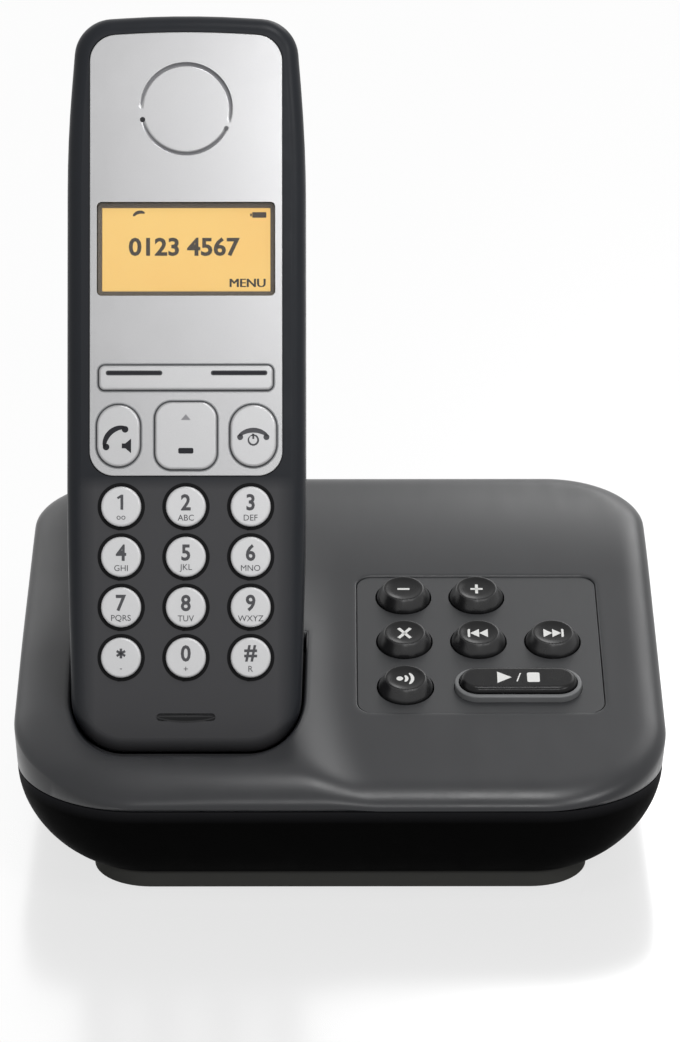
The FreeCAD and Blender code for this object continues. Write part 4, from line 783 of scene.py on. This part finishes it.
def add_lip(shape):
    """The rolled lip and the side wall. Returns the innermost ring's plan loop and vertices."""
    rings = []
    for step in range(LIP_STEPS + 1):
        loop = plan_ring(LIP_WIDE * (1 - math.cos(math.pi / 2 * step / LIP_STEPS)))
        rings.append(ring_verts(shape, loop))
    for outer, inner in zip(rings, rings[1:]):
        join_rings(shape, outer, inner)
    foot = ring_verts(shape, plan_ring(TUCK), SEAM + CHAMFER)
    edge = ring_verts(shape, plan_ring(TUCK + CHAMFER), SEAM)
    under = ring_verts(shape, plan_ring(UNDER_REACH), SEAM)
    join_rings(shape, edge, foot)
    join_rings(shape, under, edge)
    add_wall(shape, rings[0], foot)
    return loop, rings[-1]


def wall_y(level, lip_foot):
    """How far back the rear wall stands at a level: it leans in towards the seam."""
    return HALF_DEPTH - TUCK * clamped((lip_foot - level) / (lip_foot - SEAM - CHAMFER))


def socket_mouths():
    """Outlines of the rear wall's openings, as (x, z) points."""
    mouths = []
    for name in SOCKET_NODES:
        low, high = (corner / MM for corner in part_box(name))
        mouths.append(rounded_box((low.x + high.x) / 2, (low.z + high.z) / 2,
                                  *SOCKET_MOUTH, SOCKET_CORNER, 3))
    return mouths


def add_wall(shape, top, foot):
    """The upright wall, open at the rear where the sockets are."""
    mouths = socket_mouths()
    left = min(x for mouth in mouths for x, _ in mouth) - 1 - SIDE_STEP
    right = max(x for mouth in mouths for x, _ in mouth) + 1 + SIDE_STEP
    reach = [index for index, vertex in enumerate(top)
             if vertex.co.y > (HALF_DEPTH - 0.01) * MM and left < vertex.co.x / MM < right]
    lip_foot = top[reach[0]].co.z / MM
    for index, after in loop_edges(0, len(top)):
        if index not in reach or after not in reach:
            shape.faces.new((foot[index], foot[after], top[after], top[index]))
    verts = [foot[index] for index in reach] + [top[index] for index in reversed(reach)]
    outline = [(vertex.co.x / MM, vertex.co.z / MM) for vertex in verts]
    points = list(outline)
    edges = loop_edges(0, len(outline))
    for mouth in mouths:
        edges += loop_edges(len(points), len(mouth))
        points += mouth
        outer = [shape.verts.new(Vector((x, wall_y(z, lip_foot), z)) * MM) for x, z in mouth]
        inner = [shape.verts.new(Vector((x, HALF_DEPTH - COVER_WALL, z)) * MM) for x, z in mouth]
        verts += outer
        join_rings(shape, inner, outer)
    fill_net(shape, points, edges, verts, outline, mouths)


def add_well(shape):
    """The mouth of the handset's well, with a rounded edge and walls down to the cradle."""
    loop = [(point.x, point.y) for point in (FACE.spot(*spot) / MM for spot in well_outline())]
    rings = edge_rings(shape, WELL_ROUND, lambda distance: grown(loop, distance))
    outer_loop = grown(loop, WELL_ROUND + LIP_SPACE)
    rings.append(ring_verts(shape, outer_loop))
    foot = []
    rear = max(y for _, y in loop)
    front = min(y for _, y in loop)
    for vertex in rings[0]:
        y = vertex.co.y / MM
        share = clamped((y - front - WELL_CORNER) / (rear - front - WELL_CORNER))
        way = (FACE.out * (1 - share) + FACE.up * share).normalized()
        fall = vertex.co.z / MM - slope_level(y) + COVER_WALL
        foot.append(shape.verts.new(vertex.co - way * (fall / (way.z - TOP_RISE * way.y)) * MM))
    join_rings(shape, rings[0], foot)
    for inner, outer in zip(rings, rings[1:]):
        join_rings(shape, outer, inner)
    return outer_loop, rings[-1]


def add_field(shape):
    """The recess of the key field, with a softened edge and a ledge for its plate."""
    low, high = SLOPE.reach("key_field_plate")
    wide = high.x - low.x + 2 * PLATE_GAP
    tall = high.y - low.y + 2 * PLATE_GAP
    middle = (low.x + high.x) / 2, (low.y + high.y) / 2

    def plan(grow):
        outline = rounded_box(*middle, wide + 2 * grow, tall + 2 * grow, FIELD_CORNER + grow, 8)
        return [(point.x, point.y)
                for point in (SLOPE.spot(x, y, SLOPE_OUT) / MM for x, y in outline)]

    rings = [ring_verts(shape, plan(-FIELD_LEDGE), None, FIELD_DEEP),
             ring_verts(shape, plan(0), None, FIELD_DEEP)]
    rings += edge_rings(shape, FIELD_ROUND, plan)
    outer_loop = plan(FIELD_MARGIN)
    rings.append(ring_verts(shape, outer_loop))
    for inner, outer in zip(rings, rings[1:]):
        join_rings(shape, outer, inner)
    return outer_loop, rings[-1]


def add_surface(shape, rim, openings):
    """The smooth top between the lip and the openings, on an even net of points."""
    points = []
    edges = []
    verts = []
    for loop, ring in [rim] + openings:
        edges += loop_edges(len(points), len(loop))
        points += loop
        verts += ring
    holes = [grown(loop, LIP_SPACE) for loop, _ in openings]
    for row in range(int(2 * HALF_DEPTH / GRID)):
        y = -HALF_DEPTH + row * GRID
        for column in range(int(2 * HALF_WIDTH / GRID)):
            x = -HALF_WIDTH + (column + row % 2 / 2) * GRID
            on_top = rim_inset(x, y) > LIP_WIDE + LIP_SPACE
            if on_top and not any(inside_loop(x, y, hole) for hole in holes):
                points.append((x, y))
                verts += ring_verts(shape, [(x, y)])
    fill_net(shape, points, edges, verts, rim[0], [loop for loop, _ in openings])


def make_top_cover():
    """The base's top cover, with its lip, surround, well and key field."""
    shape = bmesh.new()
    rim = add_lip(shape)
    add_surface(shape, rim, [add_well(shape), add_field(shape)])
    bmesh.ops.remove_doubles(shape, verts=shape.verts, dist=1e-7)
    cover = from_bmesh("top_cover_skin", "base", BASE_GREY, shape)
    shell = cover.modifiers.new("thickness", "SOLIDIFY")
    shell.thickness = SKIN_THICK * MM
    shell.offset = -1
    cover.data.set_sharp_from_angle(angle=math.radians(SHARP_ANGLE))
    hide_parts("base_top_cover")
    return cover


# ---- handset: its prints

KEY_WORDS = {
    "key_1": ("1", "oo"), "key_2": ("2", "ABC"), "key_3": ("3", "DEF"),
    "key_4": ("4", "GHI"), "key_5": ("5", "JKL"), "key_6": ("6", "MNO"),
    "key_7": ("7", "PQRS"), "key_8": ("8", "TUV"), "key_9": ("9", "WXYZ"),
    "key_star": ("*", "-"), "key_0": ("0", "+"), "key_hash": ("#", "R"),
}
FIGURE_UP = 0.85
FIGURE_TALL = 4.5
FIGURE_BOLD = 0.12
FIGURE_SQUEEZE = 0.92
LETTERS_UP = -2.3
LETTERS_TALL = 1.75

# Figures that are drawn, not set in the font.
FIGURE_STROKES = {
    "1": [[(-0.12, -1.5), (0.46, -1.5), (0.46, 1.58), (0.02, 1.58),
           (-0.86, 1.02), (-0.62, 0.62), (-0.12, 0.92)]],
    "*": [bar_mark(-math.cos(turn), -math.sin(turn), math.cos(turn), math.sin(turn), 0.5)
          for turn in (math.radians(30), math.radians(90), math.radians(150))],
}


def mark_number_keys():
    """A figure and letters on each number key."""
    for name, (figure, letters) in KEY_WORDS.items():
        across, up, out = FACE.middle(name)
        out += HAIR
        spot = (across, up + FIGURE_UP, out)
        if figure in FIGURE_STROKES:
            printed(name + "_figure", name, SOFT_INK, FACE, spot, FIGURE_STROKES[figure])
        else:
            lettering(name + "_figure", name, SOFT_INK, FACE,
                      [(figure, FIGURE_TALL, *spot, FIGURE_BOLD, FIGURE_SQUEEZE)])
        lettering(name + "_letters", name, SOFT_INK, FACE,
                  [(letters, LETTERS_TALL, across, up + LETTERS_UP, out, 0, 1.0)])


def receiver_mark(x, y, radius, start, end, wide):
    """A telephone receiver: a bent grip with a pad at each end."""
    marks = [arc_mark(x, y, radius, start, end, wide, 20)]
    reach = radius - 0.35 * wide
    for turn in (math.radians(start), math.radians(end)):
        marks.append(round_mark(*polar(x, y, reach, turn), wide * 0.62))
    return marks


TALK_MARKS = receiver_mark(1.0, -2.2, 3.9, 182, 84, 1.1) + [
    [(0.7, -1.6), (1.4, -1.6), (2.6, -0.6), (2.6, -3.6), (1.4, -2.6), (0.7, -2.6)]]
END_MARKS = receiver_mark(0, -3.2, 4.3, 133, 47, 1.0) + [
    arc_mark(0, -0.9, 1.0, 130, -230, 0.4, 24), bar_mark(0, -0.7, 0, 0.4, 0.4)]
CALL_PRINTS = (
    ("talk_key", "print", INK, TALK_MARKS),
    ("end_key", "print", SOFT_INK, END_MARKS),
    ("navigation_key", "print", INK, [rounded_box(0, -3.1, 3.1, 1.15, 0.3)]),
    ("navigation_key", "arrow", PALE_INK, [[(-1.0, 3.2), (1.0, 3.2), (0, 4.4)]]),
)
DASH_UP = 0.95
DASHES = (("left", -10.6), ("right", 10.9))
DASH_LAYERS = ((11.6, 1.0, GROOVE_SHADE_AND_DASH_EDGE, 0), (11.0, 0.6, INK, 0.012))


def mark_call_keys():
    """The signs on the talk, end and navigation keys and the soft-key bar's dashes."""
    for key, sign, finish, marks in CALL_PRINTS:
        across, up, out = FACE.middle(key)
        printed(f"{key}_{sign}", key, finish, FACE, (across, up, out + HAIR), marks)
    across, up, out = FACE.middle("display_rocker")
    for name, side in DASHES:
        for wide, tall, finish, rise in DASH_LAYERS:
            printed(f"display_rocker_dash_{name}_{finish.name}", "display_rocker", finish, FACE,
                    (across, up, out + HAIR + rise),
                    [rounded_box(side, DASH_UP, wide, tall, tall / 2 - 0.02)])


WORD_SHIFTS = (-0.09, 0, 0.09)


def fill_display():
    """Figures, two icons and a word, set three times to thicken it, on the lit panel."""
    across, up, out = FACE.middle("display_panel")
    level = out + HAIR
    lettering("display_figures", "handset", LCD_INK, FACE, [
        ("0123 4567", 5.0, across - 0.4, up + 0.55, level, 0.14, 1.06),
    ] + [("MENU", 2.5, across + 12.6 + shift, up - 6.9, level, 0, 1.1) for shift in WORD_SHIFTS])
    receiver = [(x - 9.4, y + 7.2) for x, y in arc_mark(0, -1.2, 1.7, 150, 60, 0.7, 10)]
    battery = [rounded_box(15.0, 7.1, 2.9, 1.15, 0.15), rounded_box(13.3, 7.1, 0.35, 0.6, 0.1)]
    printed("display_icons", "handset", LCD_INK, FACE, (across, up, level), [receiver] + battery)


# ---- handset: its gaps

EARPIECE_STEPS = 144
EARPIECE_GAP = 1.15
RING_DEEP = 0.55
RING_SUNK = 0.02
# How deep a face of the ring must lie to take the grey of painted shade.
RING_DARK = 0.04
# Rows across the ring: how far out, and how deep.
RING_ROWS = ((0.0, 0.0), (0.12, 0.06), (0.2, 0.9), (0.5, 1.0), (0.8, 0.9), (0.88, 0.06), (1.0, 0.0))
# The ring's two crescents: both ends, the width, and the angle of the widest place.
CRESCENTS = ((176, -14, 1.0, 52), (196, 332, 0.75, 290))
# The pin holes in the ring, discs of painted shade, darker on the left: side, angle, radius and
# finish.
HOLE_OUT = 0.55
HOLE_SUNK = 0.03
PIN_HOLES = (("left", 194, 0.55, HOLE_SHADE_DARK), ("right", 334, 0.5, HOLE_SHADE_PALE))


def groove_depth(angle):
    """How far the earpiece's ring is cut at an angle: two crescents, each widest at one place."""
    deepest = 0
    for start, end, wide, thick_at in CRESCENTS:
        low = min(start, end)
        share = ((angle - low) % 360) / abs(end - start)
        if share < 1:
            peak = ((thick_at - low) % 360) / abs(end - start)
            bell = share / peak if share < peak else (1 - share) / (1 - peak)
            deepest = max(deepest, wide * math.sin(math.pi / 2 * bell) ** 0.55)
    return deepest


def earpiece():
    """The earpiece disc's middle, how far out it stands and its radius."""
    low, high = FACE.reach("earpiece_disc")
    return *FACE.middle("earpiece_disc"), (high.x - low.x) / 2


def make_earpiece_ring():
    """The ring between the earpiece disc and the fascia, its crescents' deeper faces grey as
    painted shade.
    """
    across, up, out, inner = earpiece()
    shape = bmesh.new()
    rings = []
    for share, deep in RING_ROWS:
        ring = []
        for step in range(EARPIECE_STEPS):
            angle = 360 * step / EARPIECE_STEPS
            cut = groove_depth(angle)
            middle = 0.5 + (share - 0.5) * (0.25 + 0.75 * cut if 0 < share < 1 else 1)
            radius = inner + EARPIECE_GAP * middle
            ring.append(shape.verts.new(FACE.spot(
                *polar(across, up, radius, math.radians(angle)),
                out - RING_DEEP * deep * cut - RING_SUNK)))
        rings.append(ring)
    for first, second in zip(rings, rings[1:]):
        join_rings(shape, second, first)
    for face in shape.faces:
        deep = out - FACE.out.dot(face.calc_center_median()) / MM - RING_SUNK
        face.material_index = 1 if deep > RING_DARK else 0
    from_bmesh("earpiece_ring", "handset", [SILVER, GROOVE_SHADE_GREY], shape)


def make_earpiece_holes():
    """The two pin holes in the earpiece's ring, as thin discs of painted shade."""
    across, up, out, inner = earpiece()
    for name, angle, size, finish in PIN_HOLES:
        place = polar(across, up, inner + HOLE_OUT, math.radians(angle))
        spot = (*place, out - HOLE_SUNK)
        printed(f"earpiece_hole_{name}", "handset", finish, FACE, spot,
                [round_mark(0, 0, size)], 2 * HOLE_SUNK)


# Layers of the scoop's painted shade: finish, width, height and rise.
SCOOP_LAYERS = ((SCOOP_SHADE_SOFT, 12.4, 1.5, 0.0), (SCOOP_SHADE_DARK, 11.2, 0.75, 0.014))
SCOOP_STEPS = 24
SCOOP_SAG = 0.35
SCOOP_THICK = 0.02


def make_scoop():
    """The soft crescent over the microphone, drawn as nested slivers of painted shade."""
    across, up, _ = FACE.middle("microphone_capsule")
    for finish, wide, tall, rise in SCOOP_LAYERS:
        upper = []
        lower = []
        for step in range(SCOOP_STEPS + 1):
            x = 2 * step / SCOOP_STEPS - 1
            sag = -SCOOP_SAG * (1 - x * x)
            half = tall / 2 * (1 - x * x) ** 0.8 + 0.01
            upper.append((x * wide / 2, sag + half))
            lower.append((x * wide / 2, sag - half))
        printed("microphone_" + finish.name, "handset", finish, FACE,
                (across, up, WELL_OUT + HAIR + rise), [lower + upper[::-1]], SCOOP_THICK)


OUTLINE_STEP = 0.12


def key_outline(name, level):
    """A handset key's outline, anticlockwise, from its parts above a level."""
    points = [(FACE.across.dot(v.co) / MM, FACE.up.dot(v.co) / MM)
              for v in NODES[name].data.vertices if FACE.out.dot(v.co) / MM > level]
    loop = []
    for index in convex_hull_2d([Vector(point) for point in points]):
        if not loop or math.dist(loop[-1], points[index]) > OUTLINE_STEP:
            loop.append(points[index])
    area = sum(x0 * y1 - x1 * y0 for (x0, y0), (x1, y1) in zip(loop, loop[1:] + loop[:1]))
    return loop if area > 0 else loop[::-1]


def outline_ring(name, finish, loop, level, near, far, thick=0.02):
    """A flat ring round an outline on the handset, from one distance outside it to another."""
    shape = bmesh.new()
    rings = []
    for distance, rise in ((near, 0), (near, thick), (far, thick), (far, 0)):
        rings.append([shape.verts.new(FACE.spot(x, y, level + rise))
                      for x, y in grown(loop, distance)])
    for first, second in zip(rings, rings[1:] + rings[:1]):
        join_rings(shape, first, second)
    from_bmesh(name, "handset", finish, shape, False)


KEY_FOOT = 0.6
GROOVED_KEYS = ("talk_key", "end_key", "navigation_key", "display_rocker")
# Distances out from each key's outline for the painted shade rings: where the dark ring starts,
# where the softer ring takes over, and where it ends.
GROOVE_NEAR, GROOVE_DARK, GROOVE_FAR = -0.1, 0.28, 0.5
RECESS_FAR = 0.75


def make_key_rings():
    """Painted shade: flat rings round the handset's keys, dark then softer, for the shadow in their
    grooves and recesses.
    """
    face = FASCIA_HIGH.z
    for name in GROOVED_KEYS:
        loop = key_outline(name, face - KEY_FOOT)
        outline_ring(name + "_groove", GROOVE_SHADE_AND_DASH_EDGE, loop, face + HAIR, GROOVE_NEAR, GROOVE_DARK)
        outline_ring(name + "_groove_edge", GROOVE_SHADE_SOFT, loop, face + HAIR, GROOVE_DARK, GROOVE_FAR,
                     0.012)
    for name in KEY_WORDS:
        loop = key_outline(name, WELL_OUT - KEY_FOOT)
        outline_ring(name + "_recess", RECESS_SHADE, loop, WELL_OUT + HAIR, GROOVE_NEAR, RECESS_FAR)


# ---- base keys

DISH = 0.26
CAP_STEPS = 72
CAP_SHARP_ANGLE = 50
# A round cap's profile from its middle: radius and height against the key's top.
CAP_PROFILE = (
    (0.0, -0.3), (0.8, -0.295), (1.6, -0.28), (2.3, -0.25), (2.8, -0.2), (3.2, -0.14),
    (3.5, -0.08), (3.75, -0.03), (3.95, 0.0), (4.12, -0.02), (4.25, -0.07), (4.38, -0.17),
    (4.55, -0.4), (4.78, -0.72), (5.05, -1.12), (5.3, -1.5), (5.5, -1.85), (5.64, -2.2),
    (5.7, -2.6), (5.7, -4.74), (6.49, -4.74), (6.49, -5.53), (0.0, -5.53),
)
CAP_TOP_ROWS = 9
ROUND_KEYS = ("volume_down_key", "volume_up_key", "delete_key", "skip_back_key",
              "skip_forward_key", "paging_key")


def make_round_caps():
    """The round base keys, each a smooth turned cap with a dark dish and a paler skirt."""
    for name in ROUND_KEYS:
        across, up, out = SLOPE.middle(name)
        shape = bmesh.new()
        rings = []
        for radius, depth in CAP_PROFILE:
            outline = round_mark(0, 0, radius, CAP_STEPS) if radius else [(0, 0)]
            rings.append([shape.verts.new(SLOPE.spot(across + x, up + y, out + depth))
                          for x, y in outline])
        for row, (inner, outer) in enumerate(zip(rings, rings[1:])):
            for index, after in loop_edges(0, CAP_STEPS):
                corners = [inner[index % len(inner)], outer[index % len(outer)],
                           outer[after % len(outer)], inner[after % len(inner)]]
                face = shape.faces.new(list(dict.fromkeys(corners)))
                face.material_index = 0 if row < CAP_TOP_ROWS else 1
        cap = from_bmesh(name + "_cap", name, [BLACK_KEY, KEY_SKIRT], shape)
        cap.data.set_sharp_from_angle(angle=math.radians(CAP_SHARP_ANGLE))
        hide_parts(name)


def skip_marks(side):
    """Two arrow heads and a bar, pointing to one side."""
    heads = [[(side * -0.1, 1.4), (side * -0.1, -1.4), (side * 1.75, 0)],
             [(side * -1.95, 1.4), (side * -1.95, -1.4), (side * -0.1, 0)]]
    bar = rounded_box(side * 2.05, 0, 0.5, 2.8, 0.1)
    return [bar] + [head if side < 0 else head[::-1] for head in heads]


MINUS = rounded_box(0, 0, 2.6, 0.6, 0.15)
BASE_ICONS = (
    ("volume_down_key", DISH, [MINUS]),
    ("volume_up_key", DISH, [MINUS, rounded_box(0, 0, 0.62, 3.2, 0.15)]),
    ("delete_key", DISH, [bar_mark(-1.25, -1.7, 1.25, 1.7, 0.7),
                          bar_mark(-1.25, 1.7, 1.25, -1.7, 0.7)]),
    ("skip_back_key", DISH, skip_marks(-1)),
    ("skip_forward_key", DISH, skip_marks(1)),
    ("paging_key", DISH, [round_mark(-1.2, 0, 0.7)] + [
        arc_mark(-1.3, 0, radius, -42, 42, 0.7, 12) for radius in (1.55, 2.75)]),
    ("play_stop_key", 0, [[(-4.4, 1.9), (-4.4, -1.9), (-1.4, 0)],
                          bar_mark(-0.35, -1.4, 0.45, 1.4, 0.26),
                          rounded_box(3.1, 0, 2.6, 3.2, 0.4)]),
)


def mark_base_keys():
    """A white icon on each base key, in its dish."""
    for name, dish, marks in BASE_ICONS:
        across, up, out = SLOPE.middle(name)
        printed(name + "_icon", name, ICON_WHITE, SLOPE, (across, up, out - dish + HAIR), marks)


# ---- stage, light and camera

# The stage's lengths are in metres, the camera's lens and sensor in millimetres.
FLOOR_HALF = 6
FLOOR_SHADOW = 0.08
FLOOR_SHINE = 0.2
FLOOR_SHINE_ROUGH = 0.2
WORLD_LIGHT = 0.36
CAMERA_SPOT = (-0.00167, -0.8025, 0.39333)
CAMERA_DOWN = 22.654
CAMERA_TURN = -0.121
CAMERA_LENS, CAMERA_SENSOR = 142.93, 36
CAMERA_NEAR, CAMERA_FAR = 0.05, 20
WHITE = (1, 1, 1, 1)

# Each lamp's place, target, width and height, in metres, and its power in watts.
AIM = (0, 0, 0.06)
LAMPS = (
    ("front_key", (0.09, -0.85, 0.68), (-0.03, -0.06, 0.12), 0.14, 0.14, 1.12),
    ("low_fill", (-0.02, -0.92, 0.5), (-0.03, -0.03, 0.08), 0.12, 0.12, 0.07),
    ("near_right", (0.24, -0.3, 0.36), (-0.03, -0.05, 0.1), 0.15, 0.15, 0.2),
    ("rear_high", (0.5, 1.5, 0.95), AIM, 0.8, 0.4, 3.2),
    ("rear_right", (0.6, 0.86, 1.05), AIM, 0.5, 0.5, 1.7),
    ("rear_left", (-0.6, 1.0, 0.8), AIM, 0.7, 0.5, 0.9),
    ("nose_light", (0.05, -0.07, 0.42), (0.0, -0.057, 0.03), 0.1, 0.1, 0.36),
    ("lip_light", (0.34, -0.3, 0.5), (0.08, -0.07, 0.03), 0.2, 0.12, 0.45),
)


def area_light(name, spot, target, width, tall, power):
    """A rectangular lamp that faces a target."""
    lamp = bpy.data.lights.new(name, "AREA")
    lamp.shape = "RECTANGLE"
    lamp.size = width
    lamp.size_y = tall
    lamp.energy = power
    thing = placed(name, lamp)
    thing.location = spot
    thing.rotation_euler = (Vector(target) - Vector(spot)).to_track_quat("-Z", "Y").to_euler()


def background_ray(tree):
    """1 where the background is seen: by the camera, in a reflection or through glass."""
    path = add(tree, "ShaderNodeLightPath")
    seen = math_node(tree, "MAXIMUM", path.outputs["Is Camera Ray"], path.outputs["Is Glossy Ray"])
    return math_node(tree, "MAXIMUM", seen, path.outputs["Is Transmission Ray"])


def make_floor():
    """A white floor with the object's shadow and a soft reflection."""
    mesh = bpy.data.meshes.new("floor")
    corners = [(x * FLOOR_HALF, y * FLOOR_HALF, 0) for x, y in ((-1, -1), (1, -1), (1, 1), (-1, 1))]
    mesh.from_pydata(corners, [], [(0, 1, 2, 3)])
    floor = placed("floor", mesh)
    made, tree, shader = material("floor_white")
    shader.inputs["Base Color"].default_value = (0.9, 0.9, 0.9, 1)
    shader.inputs["Roughness"].default_value = 0.6
    glow = add(tree, "ShaderNodeEmission", {"Color": WHITE, "Strength": 1.0})
    shine = add(tree, "ShaderNodeBsdfGlossy", {"Color": WHITE, "Roughness": FLOOR_SHINE_ROUGH})
    shadow = add(tree, "ShaderNodeBsdfDiffuse", {"Color": (0.95, 0.95, 0.95, 1)})

    def mixed(share, first, second):
        return add(tree, "ShaderNodeMixShader",
                   {0: share, 1: first.outputs[0], 2: second.outputs[0]})

    seen = mixed(FLOOR_SHINE, mixed(FLOOR_SHADOW, glow, shadow), shine)
    whole = mixed(background_ray(tree), shader, seen)
    tree.links.new(whole.outputs[0], tree.nodes["Material Output"].inputs[0])
    mesh.materials.append(made)


def make_world():
    """A world that is seen as white and lights the object less."""
    world = bpy.data.worlds.new("studio")
    bpy.context.scene.world = world
    world.use_nodes = True
    tree = world.node_tree
    back = tree.nodes["Background"]
    back.inputs[0].default_value = WHITE
    level = spread(tree, background_ray(tree), WORLD_LIGHT, 1.0, 0, 1)
    tree.links.new(level, back.inputs[1])


def make_camera():
    """The camera at the photo's angle."""
    data = bpy.data.cameras.new("camera")
    data.sensor_width = CAMERA_SENSOR
    data.lens = CAMERA_LENS
    data.clip_start = CAMERA_NEAR
    data.clip_end = CAMERA_FAR
    thing = placed("camera", data)
    thing.location = CAMERA_SPOT
    thing.rotation_euler = (math.radians(90 - CAMERA_DOWN), 0, math.radians(CAMERA_TURN))
    bpy.context.scene.camera = thing


dress_nodes()
mark_number_keys()
mark_call_keys()
fill_display()
make_earpiece_ring()
make_earpiece_holes()
make_scoop()
make_key_rings()
make_round_caps()
mark_base_keys()
make_top_cover()

make_floor()
make_world()
make_camera()
for lamp in LAMPS:
    area_light(*lamp)

scene = bpy.context.scene
scene.view_settings.view_transform = "Standard"
